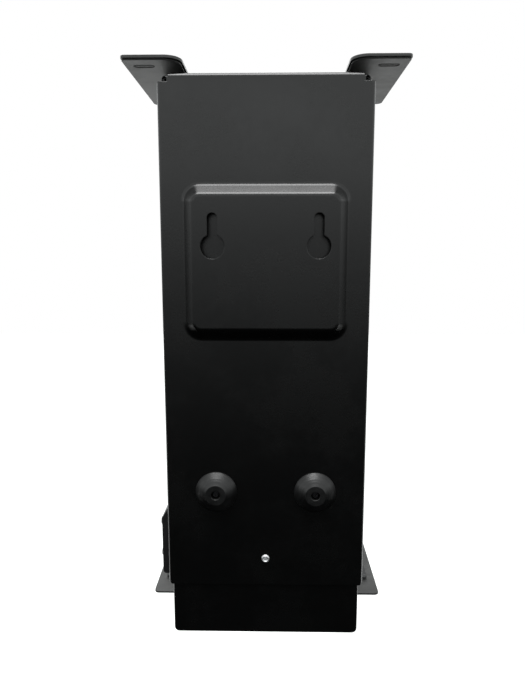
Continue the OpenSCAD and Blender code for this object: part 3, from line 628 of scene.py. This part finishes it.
def pick(kind, test):
    """Selects faces, edges or points by a test on their middle and their direction."""
    bpy.ops.mesh.select_mode(type=kind)
    bpy.ops.mesh.select_all(action="DESELECT")
    mesh = bmesh.from_edit_mesh(bpy.context.object.data)
    mesh.normal_update()
    if kind == "FACE":
        chosen = [face for face in mesh.faces if test(face.calc_center_median(), face.normal)]
    elif kind == "EDGE":
        chosen = [edge for edge in mesh.edges if test(
            (edge.verts[0].co + edge.verts[1].co) / 2,
            (edge.verts[1].co - edge.verts[0].co).normalized())]
    else:
        chosen = [point for point in mesh.verts if test(point.co, point.normal)]
    for item in chosen:
        item.select_set(True)
    bmesh.update_edit_mesh(bpy.context.object.data)
    return len(chosen)


def round_off(width, segments=4):
    bpy.ops.mesh.bevel(offset=width, segments=segments, affect="EDGES", clamp_overlap=True)


def change(kind, **settings):
    """Adds a modifier to the active object, sets it and applies it."""
    leave_edit()
    bpy.ops.object.modifier_add(type=kind)
    modifier = bpy.context.object.modifiers[-1]
    for key, value in settings.items():
        setattr(modifier, key, value)
    bpy.ops.object.modifier_apply(modifier=modifier.name)


def cut(piece, *cutters):
    """Takes the cutters out of a piece and throws them away."""
    for cutter in cutters:
        take_up(piece)
        change("BOOLEAN", operation="DIFFERENCE", solver="EXACT", object=cutter)
        bpy.data.objects.remove(cutter)


def block(name, low, high):
    """A plain block between two corners, used to cut with or to start from."""
    low, high = Vector(low), Vector(high)
    return start(name, bpy.ops.mesh.primitive_cube_add, high - low, size=1,
                 location=(low + high) / 2)


def rod(name, middle, radius, length, axis="Y", sides=48):
    turn = {"Y": (math.radians(90), 0, 0), "X": (0, math.radians(90), 0), "Z": (0, 0, 0)}[axis]
    return start(name, bpy.ops.mesh.primitive_cylinder_add, vertices=sides, radius=radius,
                 depth=length, location=middle, rotation=turn)


def dress(piece, finish, body, *nodes, smooth=32):
    """Smooth shading, the material, the body that it rides on and the parts that it stands for."""
    take_up(piece)
    bpy.ops.object.shade_smooth_by_angle(angle=math.radians(smooth))
    change("WEIGHTED_NORMAL", keep_sharp=True)
    piece.data.materials.clear()
    piece.data.materials.append(finish)
    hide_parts(*nodes)
    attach(piece, body)
    print(piece.name, "stands for", nodes, "with", len(piece.data.polygons), "faces")


def face_out(piece, test):
    """Merges doubles and turns the faces outwards; the faces that pass the test must agree."""
    bpy.ops.mesh.select_all(action="SELECT")
    bpy.ops.mesh.remove_doubles(threshold=0.001 * MM)
    bpy.ops.mesh.normals_make_consistent(inside=False)
    if not pick("FACE", test):
        bpy.ops.mesh.select_all(action="SELECT")
        bpy.ops.mesh.flip_normals()


# %% [markdown]
# ## Pressed rear cover
# The cover is one sheet of steel. A press first pushes out the hanging pad, whose wall runs in two
# fillets and a slope, and the edges are then folded round a bar. It could be cut from a block, but
# then the fillets would be missing. So it is made as the press makes it: the outline of the pad is
# stepped inwards and upwards along the curve of its wall, the flat sheet is filled in around it,
# the edges are spun through a right angle, and the skin is given its thickness at the end.

# %% Curve of the pressed wall
PAD_FOOT = Vector((121 * MM, 113 * MM))
PAD_MIDDLE = -11.5 * MM
PAD_CORNER = 14 * MM
PAD_RUN = 10.6 * MM
PAD_FILLET = 3.8 * MM
FOLD = 3 * MM


def pressed_wall(run, rise, radius, steps=5):
    """Small steps inwards and up that follow a fillet, a slope and a second fillet."""
    slope = math.asin(2 * radius / math.hypot(run, 2 * radius - rise)) - math.atan2(
        2 * radius - rise, run)
    turns = [slope * i / steps for i in range(steps + 1)]
    foot = [(radius * (math.sin(b) - math.sin(a)), radius * (math.cos(a) - math.cos(b)))
            for a, b in zip(turns, turns[1:])]
    length = run * math.cos(slope) + rise * math.sin(slope) - 2 * radius * math.sin(slope)
    middle = [(length * math.cos(slope), length * math.sin(slope))]
    return foot + middle + foot[::-1]


wall_steps = pressed_wall(PAD_RUN, STAND_OFF, PAD_FILLET)
print("pad wall in", len(wall_steps), "steps, rise", round(sum(s[1] for s in wall_steps) / MM, 2))


# %% Model the cover
def fold(edge_test, centre, axis, angle, leg):
    """Spins the chosen edges round a fold, then draws the leg out straight."""
    pick("EDGE", edge_test)
    bpy.ops.mesh.spin(steps=6, angle=angle, center=centre, axis=axis)
    bpy.ops.mesh.extrude_region_move(TRANSFORM_OT_translate={"value": leg})


def pressed_cover():
    top, foot = cover_high.z, cover_low.z
    side_top = top - 6 * MM
    flange_half = 67.6 * MM
    flat_half = cover_half - FOLD
    flat_middle = Vector((0, face_y, (side_top + foot) / 2))
    upright = (math.radians(-90), 0, 0)
    shell = start("cover_shell", bpy.ops.mesh.primitive_plane_add, (*PAD_FOOT, 1), size=1,
                  location=(0, face_y, PAD_MIDDLE), rotation=upright)
    pick("VERT", lambda middle, way: True)
    bpy.ops.mesh.bevel(offset=PAD_CORNER, segments=10, affect="VERTICES")
    pick("FACE", lambda middle, way: True)
    for inward, up in wall_steps:
        bpy.ops.mesh.inset(thickness=inward, depth=up)
    # flat sheet round the pad
    bpy.ops.mesh.select_all(action="DESELECT")
    bpy.ops.mesh.primitive_plane_add(size=1, location=flat_middle, rotation=upright)
    bpy.ops.transform.resize(value=(2 * flat_half, 1, side_top - foot),
                             center_override=flat_middle)
    bpy.ops.mesh.delete(type="ONLY_FACE")
    on_top = (lambda middle, way: abs(middle.z - side_top) < 0.1 * MM and abs(way.x) > 0.9)
    pick("EDGE", on_top)
    bpy.ops.mesh.subdivide(number_cuts=2)
    pick("VERT", lambda middle, way: abs(middle.z - side_top) < 0.1 * MM
         and abs(middle.x) < flat_half / 2)
    bpy.ops.transform.resize(value=(3 * flange_half / flat_half, 1, 1),
                             center_override=(0, face_y, side_top))
    pick("EDGE", lambda middle, way: abs(middle.y - face_y) < 0.001 * MM)
    bpy.ops.mesh.fill(use_beauty=True)
    # the top flange, with its fold
    pick("EDGE", lambda middle, way: abs(middle.z - side_top) < 0.1 * MM
         and abs(middle.x) < 1 * MM and abs(way.x) > 0.9)
    bpy.ops.mesh.extrude_region_move(
        TRANSFORM_OT_translate={"value": (0, 0, top - FOLD - side_top)})
    quarter = math.radians(90)
    depth = face_y - FOLD - side_end_y
    fold(lambda middle, way: abs(middle.z - (top - FOLD)) < 0.1 * MM,
         (0, face_y - FOLD, top - FOLD), (1, 0, 0), -quarter, (0, -depth, 0))
    for side in (-1, 1):
        fold(lambda middle, way: abs(middle.x - side * flat_half) < 0.1 * MM and abs(way.z) > 0.9,
             (side * flat_half, face_y - FOLD, 0), (0, 0, 1), side * quarter, (0, -depth, 0))
    face_out(shell, lambda middle, way: abs(middle.y - cover_high.y) < 0.1 * MM and way.y > 0.9)
    change("SOLIDIFY", thickness=SHEET, offset=-1, use_even_offset=True)
    return shell


KEY_PITCH = 75 * MM
KEY_HEAD = 8.5 * MM
KEY_NECK = 3.6 * MM
KEY_RISE = 19.6 * MM


def keyhole_cutters(x):
    """The round head, the neck and the neck's round end."""
    return [rod("head", (x, 0, 0), KEY_HEAD, 12 * MM),
            block("neck", (x - KEY_NECK, -6 * MM, 0), (x + KEY_NECK, 6 * MM, KEY_RISE)),
            rod("neck_end", (x, 0, KEY_RISE), KEY_NECK, 12 * MM)]


cover_shell = pressed_cover()
for side in (-1, 1):
    cut(cover_shell, *keyhole_cutters(side * KEY_PITCH / 2))
inlet_low, inlet_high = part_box("inlet_housing")
inlet_middle_z = -229.8 * MM


def inlet_window(x_low, x_high):
    """A cutter for the hole in a sheet that the body of the inlet goes through."""
    inside_y, half_height = 3.6 * MM, 10.8 * MM
    return block("inlet_window", (x_low, inlet_low.y + inside_y, inlet_middle_z - half_height),
                 (x_high, inlet_high.y - inside_y, inlet_middle_z + half_height))


cut(cover_shell, inlet_window(cover_half - 8 * MM, cover_half + 2 * MM))


def corner_cutter(side, radius=3.5 * MM):
    """What is left of a square corner when a round one is taken out of it."""
    x, z = side * (cover_half - radius), cover_low.z + radius
    ends = sorted((x, x + side * 2 * radius))
    waste = block("waste", (ends[0], side_end_y - 5 * MM, z - 2 * radius),
                  (ends[1], face_y + 5 * MM, z))
    cut(waste, rod("round", (x, (face_y + side_end_y) / 2, z), radius, 80 * MM, sides=64))
    return waste


for side in (-1, 1):
    cut(cover_shell, corner_cutter(side))
dress(cover_shell, black_coat, "cabinet", "rear_cover")
print("cover box:", [round(v / MM, 1) for v in cover_shell.dimensions])

# %% [markdown]
# ## Chassis tray
# The cover hangs over a tray of the same steel, which shows below it as the foot of the kiosk. Its
# corners were bent and welded, so they are rounder than a fold. A box with rounded edges, opened at
# the front and given the sheet's thickness, has the same corners inside and out.


# %% Model the tray
def chassis_tray():
    low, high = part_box("chassis")
    tray = block("chassis_tray", low, high)
    pick("EDGE", lambda middle, way: abs(way.y) > 0.9 and middle.z < 0)
    round_off(4 * MM, 6)
    pick("EDGE", lambda middle, way: abs(way.y) > 0.9 and middle.z > 0)
    round_off(3 * MM, 5)
    pick("EDGE", lambda middle, way: abs(middle.y - high.y) < 0.01 * MM)
    round_off(1.6 * MM, 4)
    pick("FACE", lambda middle, way: way.y < -0.9)
    bpy.ops.mesh.delete(type="FACE")
    change("SOLIDIFY", thickness=SHEET, offset=-1, use_even_offset=True)
    holes = []
    for side in (-1, 1):
        for z in (113.2 * MM, 114.1 * MM):
            holes.append(rod("corner_hole", (side * 70.1 * MM, high.y, z), 1.6 * MM, 6 * MM,
                             sides=24))
    inlet_y = (inlet_low.y + inlet_high.y) / 2
    for i in range(-4, 5):
        x = i * 12 * MM
        holes.append(block("vent", (x - 1.5 * MM, inlet_y - 10 * MM, low.z - 1 * MM),
                           (x + 1.5 * MM, inlet_y + 10 * MM, low.z + 4 * MM)))
    holes.append(inlet_window(high.x - 6 * MM, high.x + 2 * MM))
    cut(tray, *holes)
    return tray


dress(chassis_tray(), black_coat, "cabinet", "chassis")

# %% [markdown]
# ## Turned and moulded rounds
# The bumpers, the rivet, the button and the grommets are all rounds: a profile turned about an
# axis. Spinning a drawn edge would do it. Here a disc is used instead, and its end face is stepped
# inwards and up along the profile, which keeps the middle closed with no pole.


# %% Turn a profile
def turned(name, centre, toward, profile, sides=64):
    """A round along Y. The profile lists (radius, height) from the rim in; toward is 1 or -1."""
    radius, height = profile[0]
    rotation = (math.radians(-90 * toward), 0, 0)
    piece = start(name, bpy.ops.mesh.primitive_circle_add, vertices=sides, radius=radius,
                  fill_type="NGON", location=(centre[0], centre[1] + toward * height, centre[2]),
                  rotation=rotation)
    pick("FACE", lambda middle, way: True)
    for step_radius, step_height in profile[1:]:
        if step_radius >= radius - 0.0005 * MM:
            bpy.ops.mesh.extrude_region_move(TRANSFORM_OT_translate={
                "value": (0, toward * (step_height - height), 0)})
            grow = step_radius / radius
            bpy.ops.transform.resize(value=(grow, 1, grow), center_override=(
                centre[0], centre[1], centre[2]))
        else:
            bpy.ops.mesh.inset(thickness=radius - step_radius, depth=step_height - height)
        radius, height = step_radius, step_height
    return piece


def in_mm(points):
    return [(radius * MM, height * MM) for radius, height in points]


def arc(middle_radius, middle_height, radius, first, last, steps=4):
    """Points (radius, height) of a round edge in the profile, from angle first to last."""
    turns = [math.radians(first + (last - first) * i / steps) for i in range(steps + 1)]
    return [(middle_radius + radius * math.cos(a), middle_height + radius * math.sin(a))
            for a in turns]


# %% [markdown]
# ## Wall bumpers
# Two rubber domes keep the foot of the kiosk off the wall, level with the pad. Each has faint rings
# on its flank and a deep counterbore for its screw. The rings are shallow steps in the profile.


# %% Model the bumpers
BUMPER_FOOT = 15.8
BUMPER_TOP = 7.6
BUMPER_HEIGHT = 8.0


def bumper_profile():
    """In millimetres: a rounded foot, a swelling flank with four rings, a lip and a bore."""
    points = [(BUMPER_FOOT, 0.0), (BUMPER_FOOT, 0.7)] + arc(BUMPER_FOOT - 0.7, 0.7, 0.7, 0, 55)
    flank_start, flank_end = points[-1], (BUMPER_TOP + 0.5, BUMPER_HEIGHT - 0.35)
    for i in range(1, 19):
        t = i / 19
        swell = 0.7 * math.sin(math.pi * t)
        ring = -0.14 if i % 4 == 0 else 0.0
        points.append((flank_start[0] + (flank_end[0] - flank_start[0]) * t + swell + ring,
                       flank_start[1] + (flank_end[1] - flank_start[1]) * t + 0.4 * swell))
    points += arc(BUMPER_TOP - 0.1, BUMPER_HEIGHT - 0.7, 0.7, 40, 90, 3)
    points += arc(3.7, BUMPER_HEIGHT - 0.5, 0.5, 90, 180, 3)
    return points + [(3.15, 3.6), (2.2, 3.5)]


for node in ("wall_bumper_left", "wall_bumper_right"):
    low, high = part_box(node)
    axis_point = ((low.x + high.x) / 2, low.y, (low.z + high.z) / 2)
    bumper = turned("soft_" + node, axis_point, 1, in_mm(bumper_profile()))
    dress(bumper, bumper_rubber, "cabinet", node, smooth=50)

# %% [markdown]
# ## Rivet
# One blind rivet holds the foot of the cover. Its head is a low bright ring round a pit, and the
# broken stem shows in the middle of the pit.


# %% Model the rivet
def rivet_profile():
    points = [(3.2, 0.0), (3.2, 0.3)] + arc(2.55, 0.3, 0.65, 10, 60, 4)
    points += [(2.6, 1.15)] + arc(2.3, 0.95, 0.45, 60, 150, 5)
    return points + [(1.7, 0.8), (1.5, 0.45), (1.1, 0.4), (0.95, 0.75), (0.6, 0.85), (0.3, 0.9)]


low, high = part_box("cover_rivet")
rivet_z = (low.z + high.z) / 2
rivet = turned("blind_rivet", (0, face_y, rivet_z), 1, in_mm(rivet_profile()), sides=48)
dress(rivet, bright_rivet, "cabinet", "cover_rivet", smooth=50)

# %% [markdown]
# ## Upper shelf
# The shelf is a thin steel plate with a laminate board on it that stands out a little all round.
# Both have the same plan: a notch at the back that leaves two arms, a slot in each arm, and four
# screw holes. Each starts as a block, its corners are rounded, the openings are cut and the rims
# are softened last.


# %% Model the plate and the board
def soften(width, angle=50, segments=2):
    """Rounds every sharp edge of the active object a little."""
    change("BEVEL", width=width, segments=segments, limit_method="ANGLE",
           angle_limit=math.radians(angle), use_clamp_overlap=True, harden_normals=False)


def is_upright(way):
    return abs(way.z) > 0.9


def rounded_cutter(name, low, high, radius):
    """A block whose upright corners are round."""
    cutter = block(name, low, high)
    pick("EDGE", lambda middle, way: is_upright(way))
    round_off(radius, 8)
    return cutter


SLOT_LONG, SLOT_WIDE, SLOT_PITCH = 15 * MM, 7 * MM, 172 * MM
SLOT_Y = face_y - 13.3 * MM
NOTCH_DEPTH = 46 * MM
SHELF_SCREW_X = [-62 * MM, -22 * MM, 22 * MM, 62 * MM]
upper_screw_y = (frame_low.y + frame_high.y) / 2


def shelf_layer(name, node, notch_half, rim):
    low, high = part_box(node)
    layer = block(name, low, high)
    pick("EDGE", lambda middle, way: is_upright(way) and middle.y < low.y + 1 * MM)
    round_off(5 * MM, 7)
    pick("EDGE", lambda middle, way: is_upright(way) and middle.y > high.y - 1 * MM)
    round_off(3.5 * MM, 6)
    below, above = low.z - 5 * MM, high.z + 5 * MM
    cut(layer, block("notch", (-notch_half, high.y - NOTCH_DEPTH, below),
                     (notch_half, high.y + 5 * MM, above)))
    bpy.ops.object.mode_set(mode="EDIT")
    pick("EDGE", lambda middle, way: is_upright(way) and middle.y > high.y - 1 * MM
         and abs(abs(middle.x) - notch_half) < 0.1 * MM)
    round_off(12 * MM, 12)
    holes = [rod("screw_hole", (x, upper_screw_y, low.z), 2.1 * MM, 20 * MM, "Z", 24)
             for x in SHELF_SCREW_X]
    for side in (-1, 1):
        x = side * SLOT_PITCH / 2
        holes.append(rounded_cutter("slot", (x - SLOT_LONG / 2, SLOT_Y - SLOT_WIDE / 2, below),
                                    (x + SLOT_LONG / 2, SLOT_Y + SLOT_WIDE / 2, above),
                                    SLOT_WIDE / 2.05))
    cut(layer, *holes)
    soften(rim, 60, 3)
    return layer


dress(shelf_layer("soft_shelf_plate", "upper_shelf_plate", 59.7 * MM, 0.25 * MM),
      shelf_coat, "cabinet", "upper_shelf_plate")
dress(shelf_layer("soft_shelf_board", "upper_shelf_board", 58.5 * MM, 0.55 * MM),
      shelf_board, "cabinet", "upper_shelf_board")

# %% [markdown]
# ## Phone shelf
# The lower shelf is one sheet with its front edge folded up as a lip. The flat is drawn first, its
# corners are rounded, and the straight part of the front edge is spun up and drawn out.


# %% Model the phone shelf
def folded_shelf():
    low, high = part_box("phone_shelf")
    top_z = low.z + SHEET
    inner_fold = 2 * MM
    front_y = low.y + SHEET + inner_fold
    half = high.x
    middle = Vector((0, (front_y + high.y) / 2, top_z))
    shelf = start("folded_phone_shelf", bpy.ops.mesh.primitive_plane_add,
                  (2 * half, high.y - front_y, 1), size=1, location=middle)
    pick("VERT", lambda point, way: point.y > middle.y)
    bpy.ops.mesh.bevel(offset=4 * MM, segments=5, affect="VERTICES")
    pick("VERT", lambda point, way: point.y < front_y + 1 * MM)
    bpy.ops.mesh.bevel(offset=12 * MM, segments=9, affect="VERTICES")
    pick("EDGE", lambda place, way: abs(place.y - front_y) < 0.01 * MM and abs(place.x) < 1 * MM
         and abs(way.x) > 0.9)
    bpy.ops.mesh.spin(steps=6, angle=math.radians(90), center=(0, front_y, top_z + inner_fold),
                      axis=(1, 0, 0))
    bpy.ops.mesh.extrude_region_move(
        TRANSFORM_OT_translate={"value": (0, 0, high.z - top_z - inner_fold)})
    face_out(shelf, lambda place, way: abs(place.z - top_z) < 0.1 * MM and way.z > 0.9)
    change("SOLIDIFY", thickness=SHEET, offset=-1, use_even_offset=True)
    holes = [rod("screw_hole", (x, frame_low.y + 6.5 * MM, top_z), 2.1 * MM, 10 * MM, "Z", 24)
             for x in SHELF_SCREW_X]
    cut(shelf, *holes)
    soften(0.3 * MM, 60)
    return shelf


phone_shelf = folded_shelf()
dress(phone_shelf, shelf_coat, "cabinet", "phone_shelf")
print("phone shelf box:", [round(v / MM, 1) for v in phone_shelf.dimensions])

# %% [markdown]
# ## Acrylic fins
# Seven clear fins part the phones. Each is cut from sheet, with one large round corner at the
# upper front, and its edges are flame polished, which leaves them slightly round.

# %% Model the fins
for node in sorted(name for name in frame["nodes"] if name.startswith("divider_")):
    low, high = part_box(node)
    fin = block("clear_" + node, low, high)
    pick("EDGE", lambda middle, way: abs(way.x) > 0.9 and middle.z > high.z - 1 * MM
         and middle.y < low.y + 1 * MM)
    round_off(18 * MM, 14)
    pick("EDGE", lambda middle, way: abs(way.x) > 0.9 and middle.z > high.z - 1 * MM
         and middle.y > high.y - 1 * MM)
    round_off(4 * MM, 6)
    soften(0.35 * MM, 60)
    dress(fin, divider_acrylic, "cabinet", node)

# %% [markdown]
# ## Power inlet
# The inlet is a moulded housing on the side wall. Its top slopes back to the wall so that water
# runs off, its edges are well rounded, and two screws hold it. A socket for a two-pole lead is
# sunk in its middle.


# %% Model the inlet
def inlet_shell():
    low, high = inlet_low, inlet_high
    mid_y = (low.y + high.y) / 2
    slope_z = high.z - 8 * MM
    shell = block("moulded_inlet", (cover_half, low.y, low.z), high)
    bpy.ops.mesh.select_all(action="SELECT")
    bpy.ops.mesh.bisect(plane_co=(0, 0, slope_z), plane_no=(0, 0, 1))
    pick("VERT", lambda point, way: point.z > high.z - 1 * MM and point.x > high.x - 1 * MM)
    bpy.ops.transform.translate(value=(cover_half + 1.5 * MM - high.x, 0, 0))
    pick("EDGE", lambda middle, way: middle.x > cover_half + 0.5 * MM and abs(way.y) > 0.9
         and middle.z < low.z + 1 * MM)
    round_off(2.6 * MM, 6)
    pick("EDGE", lambda middle, way: middle.x > high.x - 4 * MM and abs(way.y) < 0.1
         and abs(middle.y - mid_y) > (high.y - low.y) / 2 - 0.1 * MM and middle.z < slope_z + 8 * MM
         and middle.x > cover_half + 1 * MM)
    round_off(1.3 * MM, 4)
    body = block("body", (low.x, mid_y - 7 * MM, inlet_middle_z - 10.5 * MM),
                 (cover_half + 1 * MM, mid_y + 7 * MM, inlet_middle_z + 10.5 * MM))
    take_up(shell)
    change("BOOLEAN", operation="UNION", solver="EXACT", object=body)
    bpy.data.objects.remove(body)
    deep = cover_half - 8 * MM
    length = high.x + 4 * MM - deep
    holes = [block("web", (deep, mid_y - 2.5 * MM, inlet_middle_z - 4.3 * MM),
                   (deep + length, mid_y + 2.5 * MM, inlet_middle_z + 4.3 * MM))]
    for side in (-1, 1):
        holes.append(rod("pole", (deep + length / 2, mid_y, inlet_middle_z + side * 4.3 * MM),
                         4 * MM, length, "X", 40))
        holes.append(rod("screw_hole", (high.x, mid_y, inlet_middle_z + side * 13.25 * MM),
                         1.7 * MM, 14 * MM, "X", 24))
        holes.append(rod("pin_hole", (deep - 6 * MM, mid_y, inlet_middle_z + side * 4.3 * MM),
                         1.25 * MM, 14 * MM, "X", 24))
    cut(shell, *holes)
    soften(0.3 * MM, 60)
    return shell


dress(inlet_shell(), inlet_plastic, "cabinet", "inlet_housing")

# %% [markdown]
# ## Front frame and door
# The frame is a deep steel rim between the cabinet and the door. The door is a shallow tray that
# is open at the back, with a window and a hole for its lock. Both are pressed, so that their front
# edges are round.


# %% Model the frame
DOOR_OPENING_HALF = 62 * MM
DOOR_OPENING_Z = (-196 * MM, 106 * MM)
FASCIA_OPENING_HALF = 67.2 * MM
FASCIA_OPENING_Z = (-288 * MM, -212 * MM)


def deep_frame():
    low, high = frame_low, frame_high
    rim = block("deep_front_frame", low, high)
    pick("EDGE", lambda middle, way: abs(way.y) > 0.9)
    round_off(6 * MM, 8)
    pick("EDGE", lambda middle, way: middle.y < low.y + 0.1 * MM)
    round_off(0.8 * MM, 3)
    wall, face, rail = 3.5 * MM, 4 * MM, 10 * MM
    inside_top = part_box("chassis")[1].z - rail
    holes = [
        block("hollow", (low.x + wall, low.y + face, low.z + rail),
              (high.x - wall, high.y + 5 * MM, inside_top)),
        block("door_opening", (-DOOR_OPENING_HALF, low.y - 5 * MM, DOOR_OPENING_Z[0]),
              (DOOR_OPENING_HALF, high.y + 5 * MM, DOOR_OPENING_Z[1])),
        block("fascia_opening", (-FASCIA_OPENING_HALF, low.y - 5 * MM, FASCIA_OPENING_Z[0]),
              (FASCIA_OPENING_HALF, high.y + 5 * MM, FASCIA_OPENING_Z[1]))]
    for x in SHELF_SCREW_X:
        holes.append(rod("upper_hole", (x, upper_screw_y, high.z), 2 * MM, 20 * MM, "Z", 24))
        holes.append(rod("lower_hole", (x, low.y + 6.5 * MM, low.z), 2 * MM, 16 * MM, "Z", 24))
    cut(rim, *holes)
    soften(0.3 * MM, 60)
    return rim


dress(deep_frame(), black_coat, "cabinet", "front_frame")


# %% Model the door
WINDOW_HALF = 56 * MM
WINDOW_Z = (-130 * MM, 98 * MM)
lock_low, lock_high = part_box("lock_barrel")
lock_x = (lock_low.x + lock_high.x) / 2
lock_z = (lock_low.z + lock_high.z) / 2


def pressed_door():
    low, high = door_low, door_high
    door = block("pressed_door", low, high)
    pick("EDGE", lambda middle, way: abs(way.y) > 0.9)
    round_off(5 * MM, 8)
    pick("EDGE", lambda middle, way: middle.y < low.y + 0.1 * MM)
    round_off(1.8 * MM, 5)
    pick("FACE", lambda middle, way: way.y > 0.9)
    bpy.ops.mesh.delete(type="FACE")
    change("SOLIDIFY", thickness=SHEET, offset=-1, use_even_offset=True)
    window = block("window", (-WINDOW_HALF, low.y - 5 * MM, WINDOW_Z[0]),
                   (WINDOW_HALF, low.y + 5 * MM, WINDOW_Z[1]))
    pick("EDGE", lambda middle, way: abs(way.y) > 0.9)
    round_off(4 * MM, 7)
    cut(door, window, rod("lock_hole", (lock_x, low.y, lock_z), 9.6 * MM, 12 * MM))
    soften(0.45 * MM, 60, 3)
    return door


dress(pressed_door(), black_coat, "door", "door_panel")

# %% [markdown]
# ## Fascia, button and grommets
# The fascia below the door is moulded. Its front edges are rounder than the steel's, and it has
# holes for three status lenses, a push button and six charging leads. Each lead leaves through a
# soft grommet.


# %% Model the fascia
outlet_places = [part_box("outlet_bushing_%d" % (i + 1)) for i in range(6)]
outlet_places = [((low.x + high.x) / 2, (low.z + high.z) / 2) for low, high in outlet_places]
bezel_low, bezel_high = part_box("button_bezel")
button_x = (bezel_low.x + bezel_high.x) / 2
button_z = (bezel_low.z + bezel_high.z) / 2


def moulded_fascia():
    low, high = fascia_low, fascia_high
    fascia = block("moulded_fascia", low, high)
    pick("EDGE", lambda middle, way: abs(way.y) > 0.9)
    round_off(5 * MM, 8)
    pick("EDGE", lambda middle, way: middle.y < low.y + 0.1 * MM)
    round_off(2.2 * MM, 6)
    wall = 2.5 * MM
    holes = [block("hollow", (-FASCIA_OPENING_HALF, low.y + wall, FASCIA_OPENING_Z[0]),
                   (FASCIA_OPENING_HALF, high.y + 5 * MM, FASCIA_OPENING_Z[1])),
             rod("button_hole", (button_x, low.y, button_z), 8.2 * MM, 12 * MM)]
    for x, z in outlet_places:
        holes.append(rod("outlet", (x, low.y, z), 5.4 * MM, 12 * MM, sides=32))
    for x in (-54 * MM, -42 * MM, -30 * MM):
        holes.append(rod("lens_hole", (x, low.y, button_z), 2.4 * MM, 12 * MM, sides=24))
    for side in (-1, 1):
        for z in (-293 * MM, -217 * MM):
            holes.append(rod("screw_hole", (side * 70 * MM, low.y + 5 * MM, z), 1.6 * MM, 20 * MM,
                             sides=24))
            holes.append(rod("counterbore", (side * 70 * MM, low.y, z), 3.2 * MM, 5 * MM, sides=32))
    cut(fascia, *holes)
    soften(0.3 * MM, 60)
    return fascia


dress(moulded_fascia(), fascia_plastic, "cabinet", "lower_fascia")


# %% Model the bezel, the button and the grommets
def open_middle(x, z):
    """Takes away the two end faces of a turned piece and joins their rims, which makes a ring."""
    pick("FACE", lambda middle, way: math.hypot(middle.x - x, middle.z - z) < 0.05 * MM)
    bpy.ops.mesh.delete(type="FACE")
    bpy.ops.mesh.select_mode(type="EDGE")
    bpy.ops.mesh.select_all(action="DESELECT")
    bpy.ops.mesh.select_non_manifold()
    bpy.ops.mesh.bridge_edge_loops()
    bpy.ops.mesh.select_all(action="SELECT")
    bpy.ops.mesh.normals_make_consistent(inside=False)


bezel = turned("turned_bezel", (button_x, fascia_low.y, button_z), -1, in_mm(
    [(8.1, -8.0), (8.1, 0.0), (9.5, 0.0), (9.5, 0.5)] + arc(9.0, 0.9, 0.5, 0, 60, 4)
    + arc(8.5, 1.1, 0.5, 60, 90, 2) + [(7.6, 1.55), (7.2, 1.3), (6.8, 1.0), (6.8, -7.9)]))
open_middle(button_x, button_z)
dress(bezel, nickel_pin, "cabinet", "button_bezel")

button = turned("turned_button", (button_x, fascia_low.y, button_z), -1, in_mm(
    [(5.0, -7.0), (5.0, -4.0), (6.5, -4.0), (6.5, 2.3)] + arc(6.0, 2.35, 0.5, 0, 90, 5)
    + [(5.2, 2.78), (4.0, 2.68), (2.6, 2.62), (1.2, 2.6)]))
dress(button, button_plastic, "button", "power_button")

for i, (x, z) in enumerate(outlet_places, 1):
    grommet = turned("soft_grommet_%d" % i, (x, fascia_low.y, z), -1, in_mm(
        [(6.6, -6.5), (6.6, -5.5), (5.4, -2.5), (5.4, 0.0), (7.5, 0.0), (7.5, 0.5)]
        + arc(6.9, 0.6, 0.6, 0, 50, 3) + [(6.3, 2.0), (5.2, 2.95)] + arc(4.3, 2.9, 0.6, 50, 90, 3)
        + [(3.5, 3.45), (3.1, 3.2), (3.0, 2.8), (3.0, -6.4)]), sides=40)
    open_middle(x, z)
    dress(grommet, bushing_rubber, "cabinet", "outlet_bushing_%d" % i, smooth=40)

# %% [markdown]
# ## Lock
# The barrel of the cam lock is a turned ring, and the plug inside it turns with the key. The
# keyway is cut through the face of the plug, so that it swings round as the lock is turned.

# %% Model the lock
barrel_back = (door_low.y - lock_high.y) / MM
barrel = turned("turned_barrel", (lock_x, door_low.y, lock_z), -1, in_mm(
    [(9.5, barrel_back), (9.5, 0.0), (11.5, 0.0), (11.5, 1.2)] + arc(10.8, 1.4, 0.7, 0, 80, 5)
    + [(8.9, 2.18), (7.0, 2.1), (6.4, 1.9), (6.05, 1.5), (6.05, barrel_back + 0.1)]))
open_middle(lock_x, lock_z)
dress(barrel, nickel_pin, "door", "lock_barrel")

plug_low, plug_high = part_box("lock_plug")
plug_back = (door_low.y - plug_high.y) / MM
plug = turned("turned_plug", (lock_x, door_low.y, lock_z), -1, in_mm(
    [(1.6, plug_back), (4.0, plug_back), (4.0, plug_back + 2.0), (6.0, plug_back + 2.0), (6.0, 1.5)]
    + arc(5.6, 1.55, 0.4, 0, 90, 4) + [(4.9, 1.9), (4.6, 1.75), (2.0, 1.7)]))
cut(plug, block("keyway", (lock_x - 0.8 * MM, door_low.y - 4 * MM, lock_z - 4 * MM),
                (lock_x + 0.8 * MM, door_low.y + 4 * MM, lock_z + 4 * MM)))
soften(0.12 * MM, 60)
dress(plug, brass, "lock", "lock_plug")
